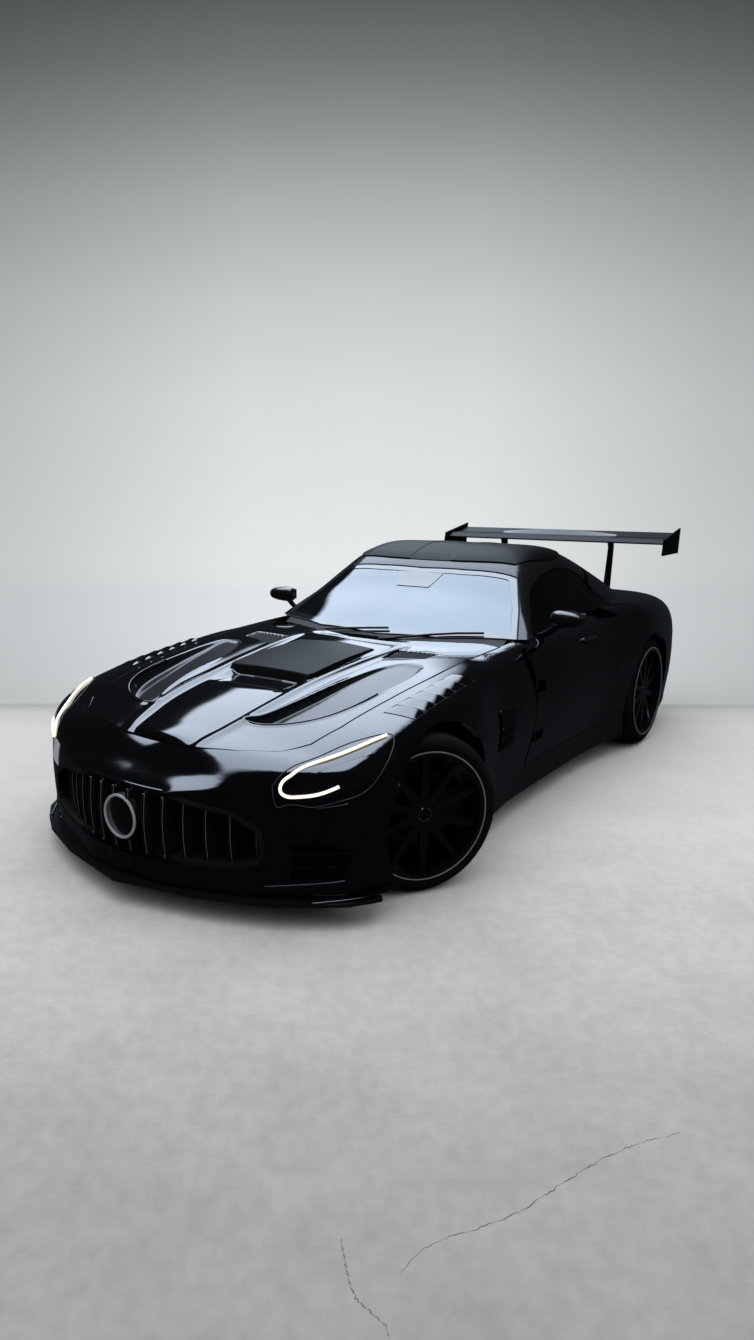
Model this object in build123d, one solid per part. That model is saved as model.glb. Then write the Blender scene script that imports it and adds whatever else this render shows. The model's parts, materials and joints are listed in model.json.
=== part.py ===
from build123d import *
import math
import os

os.makedirs("parts", exist_ok=True)

# ---------------------------------------------------------------- driving sizes (mm)
LENGTH = 4610.0            # splitter lip to tail
FRONT_OVERHANG = 900.0     # splitter lip to front axle
WHEELBASE = 2630.0
HALF_WIDTH = 1003.0        # body at the front axle
REAR_FLARE = 12.0          # how much further out the rear haunch stands
GROUND_CLEARANCE = 94.0    # under the front lip

PANEL = 28.0               # outer panels with their inner skins
PILLAR = 42.0              # roof, pillars and rear quarters
SHUT_GAP = 5.0             # gap round doors and lids
SEAM = 0.6                 # gap between fixed panels
GLASS = 6.0
GLASS_DROP = 3.0           # glass lies this far under the panel surface

FRONT_TYRE_R = 334.0
FRONT_TYRE_W = 285.0
FRONT_RIM_R = 259.0
REAR_TYRE_R = 346.0
REAR_TYRE_W = 335.0
REAR_RIM_R = 271.0
FRONT_WHEEL_X = 846.0      # wheel centre planes
REAR_WHEEL_X = 826.0
KINGPIN_X = 800.0
REST_STEER = -31.5         # degrees the front wheels are turned as it stands
ARCH_R_FRONT = 366.0
ARCH_R_REAR = 372.0
SEAT = 0.3                 # how close a fixed or running piece lies to its seat

DOOR_FRONT_Y = 985.0       # stations are measured back from the front axle
DOOR_REAR_Y = 2085.0
DOOR_INNER_X = 775.0
BELT_Z = 846.0
SILL_TOP_Z = 250.0
FLOOR_Z = 165.0
SPLITTER_T = 14.0
BODY_DROP = 20.0           # the flat underside lies this far below the bottom rail
COWL_DEPTH = 38.0          # how far the cowl lies under the bonnet's surface
COWL_T = 24.0
COWL_X = 744.0
NOSE_LOW = GROUND_CLEARANCE + SPLITTER_T + SEAT + BODY_DROP

REAR = WHEELBASE
TAIL = LENGTH - FRONT_OVERHANG
NOSE = -FRONT_OVERHANG
HW = HALF_WIDTH
RW = HALF_WIDTH + REAR_FLARE
FRONT_AXLE_Y = FRONT_OVERHANG - LENGTH / 2
FAR = 3000.0
SPACING_STATION = 1700.0   # the section that sets the spline spacing


# ---------------------------------------------------------------- curves through named rails
def slopes(points):
    """Slopes of a smooth curve that never overshoots its points."""
    steps = [(b[0] - a[0], (b[1] - a[1]) / (b[0] - a[0])) for a, b in zip(points, points[1:])]
    inner = []
    for (h0, d0), (h1, d1) in zip(steps, steps[1:]):
        if d0 * d1 <= 0:
            inner.append(0.0)
        else:
            w0, w1 = 2 * h1 + h0, h1 + 2 * h0
            inner.append((w0 + w1) / (w0 / d0 + w1 / d1))
    return [steps[0][1]] + inner + [steps[-1][1]]


def rail(points):
    """A function of the station y through (y, value) points."""
    tangents = slopes(points)

    def value(y):
        if y <= points[0][0]:
            return points[0][1]
        for i, ((y0, v0), (y1, v1)) in enumerate(zip(points, points[1:])):
            if y <= y1:
                h = y1 - y0
                t = (y - y0) / h
                return ((1 + 2 * t) * (1 - t) ** 2 * v0 + t * (1 - t) ** 2 * h * tangents[i]
                        + t * t * (3 - 2 * t) * v1 + t * t * (t - 1) * h * tangents[i + 1])
        return points[-1][1]
    return value


def pair(points):
    """Two rails from (y, x, z) points."""
    return (rail([(y, x) for y, x, z in points]), rail([(y, z) for y, x, z in points]))


# lower body: half-width in plan, then the lines that run the length of the car
NOSE_TIP = NOSE + 50
width = rail([(NOSE_TIP, 60), (NOSE + 68, 200), (NOSE + 110, 350), (NOSE + 160, 488), (NOSE + 220, 625),
              (NOSE + 300, 748), (NOSE + 390, 860), (NOSE + 480, 922), (-340, HW - 48), (-200, HW - 15),
              (0, HW), (250, HW - 6), (500, HW - 38), (850, HW - 62), (1300, HW - 58), (1800, HW - 48),
              (REAR - 500, HW - 28), (REAR - 260, RW - 12), (REAR, RW), (REAR + 270, RW - 8),
              (REAR + 520, RW - 42), (REAR + 740, RW - 100), (TAIL - 180, RW - 190),
              (TAIL - 90, RW - 310), (TAIL - 40, RW - 440)])
crown = rail([(NOSE_TIP, 435), (NOSE + 68, 462), (NOSE + 110, 490), (NOSE + 160, 518), (NOSE + 220, 558),
              (-616, 603), (-480, 638), (-300, 678), (0, 722), (200, 748), (500, 782), (800, 812),
              (1000, 822), (1400, 815), (REAR - 300, 850), (REAR + 200, 880), (REAR + 600, 888),
              (REAR + 800, 880), (TAIL - 150, 868), (TAIL - 90, 862), (TAIL - 40, 850)])
dome = pair([(NOSE_TIP, 22, 434), (NOSE + 68, 80, 461), (NOSE + 110, 140, 491), (NOSE + 160, 190, 522),
             (NOSE + 220, 215, 566), (-616, 220, 615), (-480, 240, 655), (-300, 250, 700),
             (0, 240, 752), (200, 235, 778), (500, 230, 808), (800, 230, 832), (1000, 230, 838),
             (1400, 230, 825), (REAR - 300, 230, 852), (REAR + 200, 230, 881), (REAR + 600, 230, 889),
             (REAR + 800, 225, 880), (TAIL - 150, 215, 868), (TAIL - 90, 190, 862), (TAIL - 40, 150, 850)])
edge = pair([(NOSE_TIP, 42, 430), (NOSE + 68, 160, 455), (NOSE + 110, 295, 483), (NOSE + 160, 425, 508),
             (NOSE + 220, 558, 545), (-616, 672, 585), (-480, 790, 628), (-300, 850, 683), (0, 856, 742),
             (240, 846, 776), (460, 832, 802), (800, 815, 826), (1110, 803, 842), (1500, 797, 855),
             (1950, 795, 868), (REAR - 350, 815, 886), (REAR - 60, 872, 905), (REAR + 200, 868, 904),
             (REAR + 500, 815, 890), (REAR + 740, 740, 874), (TAIL - 180, 645, 862), (TAIL - 90, 530, 855),
             (TAIL - 40, 410, 845)])
shoulder_z = rail([(NOSE_TIP, 405), (NOSE + 110, 452), (NOSE + 220, 500), (-480, 575), (-300, 625), (0, 688),
                   (460, 735), (1000, 768), (1500, 782), (REAR - 350, 800), (REAR, 818), (REAR + 500, 800),
                   (TAIL - 180, 795), (TAIL - 40, 790)])
shoulder_in = rail([(NOSE_TIP, 7), (NOSE + 110, 16), (NOSE + 220, 24), (-480, 26), (-300, 34), (0, 40),
                    (460, 48), (1000, 58), (1500, 60), (REAR - 350, 62), (REAR, 34), (REAR + 500, 40),
                    (TAIL - 180, 50), (TAIL - 40, 48)])
waist_z = rail([(NOSE_TIP, 340), (NOSE + 220, 390), (-480, 440), (-200, 520), (0, 560), (460, 560),
                (1000, 575), (2000, 590), (REAR, 620), (REAR + 500, 600), (TAIL - 40, 600)])
lower = pair([(NOSE_TIP, 59, 235), (NOSE + 68, 198, 235), (NOSE + 110, 347, 235), (NOSE + 160, 484, 235),
              (NOSE + 220, 620, 238), (NOSE + 300, 742, 240), (NOSE + 390, 852, 245), (NOSE + 480, 914, 255),
              (-340, HW - 56, 270), (-200, HW - 20, 290), (0, HW - 4, 310), (250, HW - 20, 315),
              (500, HW - 62, 310), (1000, HW - 102, 300), (1800, HW - 98, 300), (REAR - 450, HW - 50, 310),
              (REAR, RW - 8, 340), (REAR + 500, RW - 50, 350), (REAR + 740, RW - 108, 355),
              (TAIL - 180, RW - 200, 360), (TAIL - 90, RW - 320, 360), (TAIL - 40, RW - 450, 360)])
bottom = pair([(NOSE_TIP, 55, NOSE_LOW), (NOSE + 68, 192, NOSE_LOW), (NOSE + 110, 340, NOSE_LOW), (NOSE + 160, 476, NOSE_LOW),
               (NOSE + 220, 612, NOSE_LOW), (NOSE + 300, 734, NOSE_LOW), (NOSE + 390, 844, NOSE_LOW), (NOSE + 480, 906, NOSE_LOW),
               (-340, HW - 64, NOSE_LOW), (-200, HW - 30, 135), (0, HW - 18, 140), (500, HW - 80, 140),
               (1000, HW - 120, 135), (1800, HW - 118, 135), (REAR - 450, HW - 70, 140),
               (REAR, RW - 20, 160), (REAR + 500, RW - 70, 190), (REAR + 740, RW - 130, 215),
               (TAIL - 180, RW - 230, 235), (TAIL - 90, RW - 350, 245), (TAIL - 40, RW - 480, 250)])
BODY_STATIONS = ([NOSE_TIP, NOSE + 68, NOSE + 110, NOSE + 160, NOSE + 220, -616, -510, -400, -270, -120, 40, 240,
                  460, 720, 1000, 1350, 1700, 2000, REAR - 400, REAR - 170, REAR + 60, REAR + 300, REAR + 520,
                  REAR + 740, TAIL - 180, TAIL - 90, TAIL - 40])

# greenhouse: roof line, windscreen and side glass
roof = rail([(560, 640), (700, 722), (941, 826), (1150, 950), (1350, 1072), (1480, 1172), (1620, 1240),
             (1850, 1287), (2100, 1274), (2400, 1215), (2700, 1122), (3000, 1010), (REAR + 620, 920), (REAR + 760, 850)])
roof_mid = pair([(560, 300, 620), (700, 330, 705), (941, 390, 812), (1150, 330, 944), (1350, 315, 1066),
                 (1480, 305, 1166), (1620, 300, 1236), (1850, 300, 1282), (2100, 300, 1268),
                 (2400, 300, 1206), (2700, 300, 1112), (3000, 300, 1002), (REAR + 620, 300, 912),
                 (REAR + 760, 300, 840)])
pillar = pair([(560, 600, 540), (700, 680, 640), (941, 735, 755), (1142, 775, 858), (1350, 662, 1005),
               (1520, 590, 1128), (1700, 566, 1208), (1900, 556, 1236), (2100, 556, 1222),
               (2400, 562, 1145), (2700, 580, 1042), (3000, 560, 950), (REAR + 620, 540, 860),
               (REAR + 760, 520, 780)])
glass_low = pair([(560, 660, 480), (941, 765, 640), (1142, 792, 800), (1350, 780, 850), (1700, 778, 862),
                  (2100, 775, 875), (2400, 760, 895), (2700, 730, 900), (3000, 690, 840), (REAR + 620, 640, 760),
                  (REAR + 760, 600, 700)])
GREENHOUSE_STATIONS = [560, 700, 850, 1000, 1142, 1250, 1350, 1440, 1520, 1620, 1740, 1900, 2100, 2300, 2500,
                       2700, 2900, 3080, REAR + 620, REAR + 760]


def body_half(y):
    """Half section of the lower body from the centreline down to the sill."""
    w = width(y)
    return [(0, crown(y)), (dome[0](y), dome[1](y)), (edge[0](y), edge[1](y)),
            (w - shoulder_in(y), shoulder_z(y)), (w, waist_z(y)), (lower[0](y), lower[1](y)),
            (bottom[0](y), bottom[1](y))]


def cabin_half(y):
    """Half section of the greenhouse from the centreline down inside the body."""
    px, pz = pillar[0](y), pillar[1](y)
    gx, gz = glass_low[0](y), glass_low[1](y)
    return [(0, roof(y)), (roof_mid[0](y), roof_mid[1](y)), (px, pz),
            ((px + gx) / 2 + 10, (pz + gz) / 2), (gx, gz), (gx + 4, gz - 120)]


def inset(points, t):
    """Move a half section inwards by t, square to itself."""
    moved = []
    for i, (x, z) in enumerate(points):
        if i == 0:
            moved.append((0, z - t))
            continue
        x0, z0 = points[i - 1]
        x1, z1 = points[min(i + 1, len(points) - 1)]
        dx, dz = x1 - x0, z1 - z0
        run = math.hypot(dx, dz)
        moved.append((x + dz / run * t, z - dx / run * t))
    return moved


def knots(half):
    """Spline parameters for a half section, spaced by the root of each step."""
    steps = [math.hypot(b[0] - a[0], b[1] - a[1]) ** 0.5 for a, b in zip(half, half[1:])]
    total = sum(steps)
    places = [0.0]
    for step in steps:
        places.append(places[-1] + step / total / 2)
    return [0.5 - p for p in reversed(places)] + [0.5 + p for p in places[1:]]


def cabin_inset(points, t):
    """Move a greenhouse half section inwards by t, point by point, so that its tight pillar can't fold."""
    shares = [(0, 1), (0, 1), (0.75, 0.8), (1, 0.2), (1, 0), (1, 0)]
    return [(x - t * across, z - t * down) for (x, z), (across, down) in zip(points, shares)]


def section(half, y, drop, spacing):
    """A closed wire across the car: one spline over the top and a flat bottom."""
    left = [Vector(x, y, z) for x, z in half]
    right = [Vector(-x, y, z) for x, z in reversed(half[1:])]
    points = right + left
    over = Edge.make_spline(points, parameters=spacing)
    low = [Vector(p.X, p.Y, p.Z - drop) for p in (points[-1], points[0])]
    closing = [Edge.make_line(points[-1], low[0]), Edge.make_line(low[0], low[1]),
               Edge.make_line(low[1], points[0])]
    return Wire([over] + closing)


def skin(half, stations, t, drop):
    """A solid through the sections, moved inwards by t."""
    spacing = knots(half(SPACING_STATION))
    shrink = cabin_inset if half is cabin_half else inset
    return Solid.make_loft([section(shrink(half(y), t), y, drop, spacing) for y in stations])



def plan_prism(points, low_z=-50.0, high_z=1500.0, smooth=False):
    """A vertical prism over a closed outline of (x, y) points."""
    corners = [Vector(x, y, low_z) for x, y in points]
    return prism(corners, Vector(0, 0, high_z - low_z), smooth)


def side_prism(points, x0, x1, smooth=False):
    """A prism across the car over a closed outline of (y, z) points."""
    corners = [Vector(x0, y, z) for y, z in points]
    return prism(corners, Vector(x1 - x0, 0, 0), smooth)


def front_prism(points, y0, y1, smooth=False):
    """A prism along the car over a closed outline of (x, z) points."""
    corners = [Vector(x, y0, z) for x, z in points]
    return prism(corners, Vector(0, y1 - y0, 0), smooth)


def prism(corners, reach, smooth):
    if smooth:
        wire = Wire([Edge.make_spline(corners, periodic=True)])
    else:
        wire = Wire.make_polygon(corners, close=True)
    return Solid.extrude(Face(wire), reach)


def block(x0, x1, y0, y1, z0, z1):
    return Solid.make_box(x1 - x0, y1 - y0, z1 - z0, Plane(Vector(x0, y0, z0)))


def rod(a, b, r):
    """A round bar from a to b."""
    a, b = Vector(a), Vector(b)
    return Solid.make_cylinder(r, (b - a).length, Plane(a, z_dir=b - a))


def mirrored(half_points):
    """Close an outline of x >= 0 points, front to back, across the centreline."""
    return half_points + [(-x, v) for x, v in reversed(half_points) if x > 0]


def both_sides(shape):
    return [shape, shape.mirror(Plane.YZ)]


def solids_of(*shapes):
    found = []
    for shape in shapes:
        found.extend(shape.solids())
    return found


nodes = {}


def keep(name, *shapes, smallest=2000.0):
    """Store a node's solids, leaving out shavings under smallest mm3."""
    nodes[name] = [s for s in solids_of(*shapes) if s.volume > smallest]


# ---------------------------------------------------------------- volumes
low = skin(body_half, BODY_STATIONS, 0.0, BODY_DROP)
low_in = skin(body_half, BODY_STATIONS[2:-2], PANEL, 60)
low_out = skin(body_half, BODY_STATIONS, -SHUT_GAP, BODY_DROP)
top = skin(cabin_half, GREENHOUSE_STATIONS, 0.0, 20)
top_in = skin(cabin_half, GREENHOUSE_STATIONS[1:-1], PILLAR, 60)
glass_out = skin(cabin_half, GREENHOUSE_STATIONS, GLASS_DROP, 20)
glass_in = skin(cabin_half, GREENHOUSE_STATIONS, GLASS_DROP + GLASS, 20)
outer = low + top
low_shell = low - low_in
shell = outer - low_in - top_in
glass_shell = glass_out - glass_in - low_out
door_glass_shell = glass_out - glass_in - skin(body_half, BODY_STATIONS, -SEAT, BODY_DROP)

# ---------------------------------------------------------------- outlines of the openings
HOOD_HALF = [(0, -616), (200, -622), (400, -590), (560, -535), (640, -440), (680, -300), (706, 0), (724, 300),
             (738, 650), (744, 950), (640, 962), (400, 905), (0, 872)]


def hood_outline(grow):
    """The bonnet's plan outline, each point moved out by grow."""
    grown = []
    for i, (x, y) in enumerate(HOOD_HALF):
        side = 1 if x > 600 else 0
        end = -1 if i < 5 else (1 if i > 8 else 0)
        grown.append((x + side * grow if x else 0, y + end * grow))
    return mirrored(grown)


def windscreen_outline(grow):
    return mirrored([(0, 962 - grow), (400, 1000 - grow), (722 + grow, 1112 - grow), (552 + grow, 1506 + grow),
                     (280, 1474 + grow), (0, 1466 + grow)])


def side_window_outline(grow):
    return [(1282 - grow, 872), (1400 - grow, 992 + grow), (1520, 1082 + grow), (1690, 1140 + grow),
            (1890, 1162 + grow), (2090, 1146 + grow), (2250 + grow, 1090 + grow), (2370 + grow, 1000 + grow),
            (2425 + grow, 915), (2300, 901 - grow), (DOOR_REAR_Y, 893 - grow), (DOOR_REAR_Y, BELT_Z + 22),
            (1700, BELT_Z), (1282 - grow, BELT_Z - 6)]


GATE_HINGE_Y = 2230.0
GATE_HINGE_Z = 1168.0
GATE_FRONT_R = 118.0
HINGE_ROD_R = 7.0          # pins of the bonnet and tailgate hinges
HINGE_BOSS_R = 15.0
BONNET_HINGE_Y = 1100.0
BONNET_HINGE_Z = 760.0
BONNET_ARM_X = 713.0       # inner face of each bonnet arm
BONNET_ARM_T = 16.0
GATE_ARM_X = 298.0
GATE_ARM_T = 14.0
GATE_REAR_Y = TAIL - 130.0
GATE_REAR_R = math.hypot(GATE_REAR_Y - GATE_HINGE_Y, GATE_HINGE_Z - crown(GATE_REAR_Y))


def tailgate_tool(grow):
    """The lid's region: vertical sides, with end faces that are round about its hinge."""
    sides = plan_prism(mirrored([(0, GATE_HINGE_Y), (430 + grow, GATE_HINGE_Y), (500 + grow, 2700),
                                 (540 + grow, 3050), (560 + grow, 3300), (560 + grow, TAIL), (0, TAIL)]), 560)
    spindle = Plane(Vector(-700, GATE_HINGE_Y, GATE_HINGE_Z), z_dir=(1, 0, 0))
    reach = Solid.make_cylinder(GATE_REAR_R + grow, 1400, spindle)
    core = Solid.make_cylinder(GATE_FRONT_R - grow, 1400, spindle)
    return (sides & reach) - core


def rear_glass_outline(grow):
    return mirrored([(0, 2400 - grow), (380 + grow, 2400 - grow), (440 + grow, 2750), (455 + grow, 3010 + grow),
                     (0, 3040 + grow)])


BUMPER_LINE_Y = -300.0
QUARTER_LINE_Y = DOOR_REAR_Y
ROOF_LINE_Y = 2290.0
ROOF_TAIL_X = 430.0        # the roof runs on to the tailgate this far out
BUMPER_REAR_Y = TAIL - 300.0
DOOR_LINE = [(DOOR_FRONT_Y, 0), (DOOR_FRONT_Y, 560), (DOOR_FRONT_Y + 45, 776), (DOOR_FRONT_Y + 150, 950)]
HINGE_X = HW - 103.0
HINGE_Y = DOOR_FRONT_Y + 60.0
DOOR_REACH = DOOR_REAR_Y - SHUT_GAP - HINGE_Y
DOOR_SWING_R = 76.0
SILL_IN = 745.0
SILL_FRONT_Y = 620.0

arch_front = rod((KINGPIN_X - 400, 0, FRONT_TYRE_R), (1300, 0, FRONT_TYRE_R), ARCH_R_FRONT)
arch_rear = rod((480, REAR, REAR_TYRE_R), (1300, REAR, REAR_TYRE_R), ARCH_R_REAR)
arches = both_sides(arch_front) + both_sides(arch_rear)


def cut(shape, *tools):
    for tool in tools:
        shape = shape - tool
    return shape


def headlamp_prism(grow):
    """Teardrop lamp opening, cut square to the lamp's face."""
    facing = Plane(Vector(790, -480, 590), x_dir=(0.55, 0.83, 0.0), z_dir=(0.52, -0.62, 0.59))
    outline = [(-185 - grow, -62), (-150, -98 - grow), (-40, -95 - grow), (110, -70 - grow), (228, -6 - grow),
               (262 + grow, 62 + grow), (180, 44 + grow), (20, 18 + grow), (-150, -16 + grow), (-190 - grow, -34)]
    corners = [facing.from_local_coords(Vector(x, y, -160)) for x, y in outline]
    return prism(corners, facing.z_dir * 420, False)


lamp_tools = both_sides(headlamp_prism(0.0))
lamp_holes = both_sides(headlamp_prism(SEAM))

# ---------------------------------------------------------------- front panels
hood_tool = plan_prism(hood_outline(0.0), 380)
hood_hole = plan_prism(hood_outline(SHUT_GAP), 380)


def pin_at(x0, x1, y, z, r):
    """A bar across the car from x0 to x1."""
    return rod((x0, y, z), (x1, y, z), r)


bonnet = cut(low & hood_tool, low_in, top, *lamp_holes)
bonnet_arm = side_prism([(850, 800), (852, 775), (905, 726), (1094, 744), (1094, 775), (950, 764), (925, 790),
                         (925, 800)], BONNET_ARM_X, BONNET_ARM_X + BONNET_ARM_T)
bonnet_root = side_prism([(850, 799), (925, 799), (925, 880), (850, 880)], BONNET_ARM_X,
                         BONNET_ARM_X + BONNET_ARM_T) & skin(body_half, BODY_STATIONS[2:-2], PANEL / 2, 60)
bonnet_arm = bonnet_arm.fuse(bonnet_root, pin_at(BONNET_ARM_X, BONNET_ARM_X + BONNET_ARM_T, BONNET_HINGE_Y,
                                                 BONNET_HINGE_Z, HINGE_BOSS_R))
bonnet_arm = bonnet_arm - pin_at(690, 760, BONNET_HINGE_Y, BONNET_HINGE_Z, HINGE_ROD_R + SEAT)
keep("bonnet", bonnet.fuse(*both_sides(bonnet_arm)))

GRILLE_HALF = [(0, 484), (300, 474), (500, 446), (600, 388), (612, 310), (588, 240), (500, 212), (0, 204)]
grille_hole = front_prism(mirrored(GRILLE_HALF), NOSE - 50, NOSE + 420)
intake = front_prism([(690, 196), (850, 190), (876, 300), (770, 345), (700, 330)], NOSE - 50, -380)
front_zone = block(-FAR, FAR, -FAR, BUMPER_LINE_Y, 0, 1500)
keep("front_bumper", cut(low & front_zone, low_in, hood_hole, grille_hole, *lamp_holes, *both_sides(intake), *arches))

LENS_T = 24.0
lens_in = skin(body_half, BODY_STATIONS[2:-2], LENS_T, 60)
keep("headlamps", *[cut(low & tool, lens_in, hood_hole) for tool in lamp_tools])

fender_zone = side_prism([(BUMPER_LINE_Y + SEAM, 0), (BUMPER_LINE_Y + SEAM, 1400), (1142, 1400)]
                         + [(y, z) for y, z in reversed(DOOR_LINE)], 0, 1400)
door_swing = Solid.make_cylinder(DOOR_SWING_R, 700, Plane(Vector(HINGE_X, HINGE_Y, 200)))
fender = cut(low & fender_zone, low_in, hood_hole, top, lamp_holes[0], arch_front, door_swing,
             block(-10, COWL_X + SEAM, 900, 1400, 0, 1500))
fender = cut(fender, block(600, FAR, SILL_FRONT_Y - SEAM, FAR, 0, SILL_TOP_Z + SEAM))
keep("front_fender_left", fender, smallest=200000)
keep("front_fender_right", fender.mirror(Plane.YZ), smallest=200000)

# ---------------------------------------------------------------- doors
door_zone = side_prism([(y + SHUT_GAP, max(z, SILL_TOP_Z + SHUT_GAP)) for y, z in DOOR_LINE]
                       + [(DOOR_REAR_Y + 40, 950), (DOOR_REAR_Y + 40, SILL_TOP_Z + SHUT_GAP)],
                       SILL_IN + SHUT_GAP, 1300)
door_arc = Solid.make_cylinder(math.hypot(DOOR_REACH, HW - 48 - HINGE_X), 1500,
                               Plane(Vector(HINGE_X, HINGE_Y, 0)))
hinge_pockets = []
for z in (400.0, 655.0):
    hinge_pockets.append(Solid.make_cylinder(DOOR_SWING_R, 50, Plane(Vector(HINGE_X, HINGE_Y, z - 25))))
    hinge_pockets.append(Solid.make_cylinder(8.0 + SEAT, 72, Plane(Vector(HINGE_X, HINGE_Y, z - 36))))
door = cut((low & door_zone) & door_arc, *hinge_pockets)
keep("door_left", door)
keep("door_right", door.mirror(Plane.YZ))

window_tool = side_prism(side_window_outline(-SHUT_GAP), 300, 1200)
window_hole = side_prism(side_window_outline(0.0), 300, 1200)
door_part = block(300, 1200, 0, DOOR_REAR_Y - SHUT_GAP, 0, 1500)
quarter_part = block(300, 1200, DOOR_REAR_Y, FAR, 0, 1500)
pane = (door_glass_shell & window_tool) & door_part
keep("door_glass_left", pane)
keep("door_glass_right", pane.mirror(Plane.YZ))
quarter_tool = side_prism(side_window_outline(-SEAM), 300, 1200)
quarter_pane = (glass_shell & quarter_tool) & quarter_part
keep("quarter_windows", quarter_pane, quarter_pane.mirror(Plane.YZ))

# ---------------------------------------------------------------- roof, screens and rear quarters
screen_tool = plan_prism(windscreen_outline(-SEAM), 600)
screen_hole = plan_prism(windscreen_outline(0.0), 600)
keep("windscreen", glass_shell & screen_tool)

gate_tool = tailgate_tool(0.0)
gate_hole = tailgate_tool(SHUT_GAP)
rear_glass_tool = plan_prism(rear_glass_outline(-SEAM), 560)
rear_glass_hole = plan_prism(rear_glass_outline(0.0), 560)

window_holes = both_sides(window_hole)
A_POST_Y = 1182.0
SCREEN_FRAME_Y = 948.0
DOOR_SWING_R = 176.0       # the front top corner of a door sweeps this far about its hinge
POST_FOOT_Z = 860.0        # the screen post's foot ends this high over the swinging door
door_headroom = (both_sides(low_out & block(SILL_IN - SHUT_GAP, 1300, 900, A_POST_Y + 0.5, 0, 1200))
                 + both_sides(low_out & block(690, 1300, A_POST_Y, 2400, 0, 1200))
                 + both_sides(block(SILL_IN, 1300, A_POST_Y - 22, A_POST_Y + 60, 0, POST_FOOT_Z))
                 + both_sides(Solid.make_cylinder(DOOR_SWING_R, POST_FOOT_Z - 555,
                                                  Plane(Vector(HINGE_X, HINGE_Y, 555)))))
COWL_LINE_Z = 806.0        # the screen frame stops this high over the cowl
arm_slots = both_sides(block(BONNET_ARM_X - 6, BONNET_ARM_X + BONNET_ARM_T + 6, 900, BONNET_HINGE_Y + 22, 600, 1200))
roof_zone = (block(-FAR, FAR, SCREEN_FRAME_Y, ROOF_LINE_Y, 600, 1500)
             + block(-ROOF_TAIL_X, ROOF_TAIL_X, ROOF_LINE_Y - 1, ROOF_LINE_Y + 60, 600, 1500))
roof_tail = block(-ROOF_TAIL_X - SEAM, ROOF_TAIL_X + SEAM, ROOF_LINE_Y - 10, ROOF_LINE_Y + 60, 600, 1500)
cowl_top = skin(body_half, BODY_STATIONS[2:-2], COWL_DEPTH, 60)
cowl_under = skin(body_half, BODY_STATIONS[2:-2], COWL_DEPTH + COWL_T, 80)
cowl_zone = block(-BONNET_ARM_X + 8, BONNET_ARM_X - 8, 850, A_POST_Y, 400, 1500)
roof_panel = cut((top - top_in) & roof_zone, screen_hole, *window_holes, gate_hole,
                 block(-FAR, FAR, 900, A_POST_Y, 0, COWL_LINE_Z), block(-FAR, FAR, A_POST_Y - 1, FAR, 0, BELT_Z - 20),
                 *door_headroom, *arm_slots)
scuttle = [p for p in roof_panel.solids() if p.bounding_box().max.Y < A_POST_Y]
roof_panel = max(roof_panel.solids(), key=lambda p: p.volume)
keep("cowl_panel", ((cowl_top & cowl_zone) - cowl_under).fuse(*scuttle))
GATE_BRACKET_X = GATE_ARM_X + GATE_ARM_T + 2
gate_bracket = (block(GATE_BRACKET_X, GATE_BRACKET_X + 14, GATE_HINGE_Y - 16, GATE_HINGE_Y + 16,
                      GATE_HINGE_Z - 16, GATE_HINGE_Z + 60)
                & skin(cabin_half, GREENHOUSE_STATIONS[1:-1], PILLAR / 2, 60))
gate_bracket = gate_bracket.fuse(pin_at(GATE_ARM_X - 2, GATE_BRACKET_X + 2, GATE_HINGE_Y, GATE_HINGE_Z, HINGE_ROD_R))
roof_panel = roof_panel.fuse(*both_sides(gate_bracket))
keep("roof_panel", roof_panel, smallest=60000)

quarter_zone = block(0, FAR, ROOF_LINE_Y + SEAM, BUMPER_REAR_Y, 0, 1500)
lower_quarter_zone = block(SILL_IN, FAR, QUARTER_LINE_Y, ROOF_LINE_Y + 1, 0, 860)
quarter = cut((shell & quarter_zone) + (low_shell & lower_quarter_zone), roof_tail, gate_hole, window_hole, arch_rear,
              rear_glass_hole, block(600, FAR, 0, REAR - 330 + SEAM, 0, SILL_TOP_Z + SEAM))
keep("side_body_left", quarter, smallest=60000)
keep("side_body_right", quarter.mirror(Plane.YZ), smallest=60000)



def gate_point(r, degrees):
    """A (y, z) point r from the lid's hinge, at an angle over the level line that runs back."""
    a = math.radians(degrees)
    return (GATE_HINGE_Y + r * math.cos(a), GATE_HINGE_Z + r * math.sin(a))


neck_out = GATE_FRONT_R + 20
neck = [gate_point(GATE_FRONT_R, a) for a in (14, 0, -16, -32, -48, -62)]
neck += [gate_point(12, -40), gate_point(12, -110), gate_point(60, -84), gate_point(neck_out, -76)]
neck += [gate_point(neck_out, a) for a in (-62, -48, -32, -16, 0, 14)]
gate_arm = side_prism(neck, GATE_ARM_X, GATE_ARM_X + GATE_ARM_T)
gate_arm = gate_arm.fuse(pin_at(GATE_ARM_X, GATE_ARM_X + GATE_ARM_T, GATE_HINGE_Y, GATE_HINGE_Z, HINGE_BOSS_R))
gate_arm = gate_arm - pin_at(GATE_ARM_X - 20, GATE_ARM_X + 40, GATE_HINGE_Y, GATE_HINGE_Z, HINGE_ROD_R + SEAT)
gate = cut(shell & gate_tool, rear_glass_hole).fuse(*both_sides(gate_arm))
keep("tailgate", gate, smallest=60000)
keep("rear_glass", glass_shell & rear_glass_tool)

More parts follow.
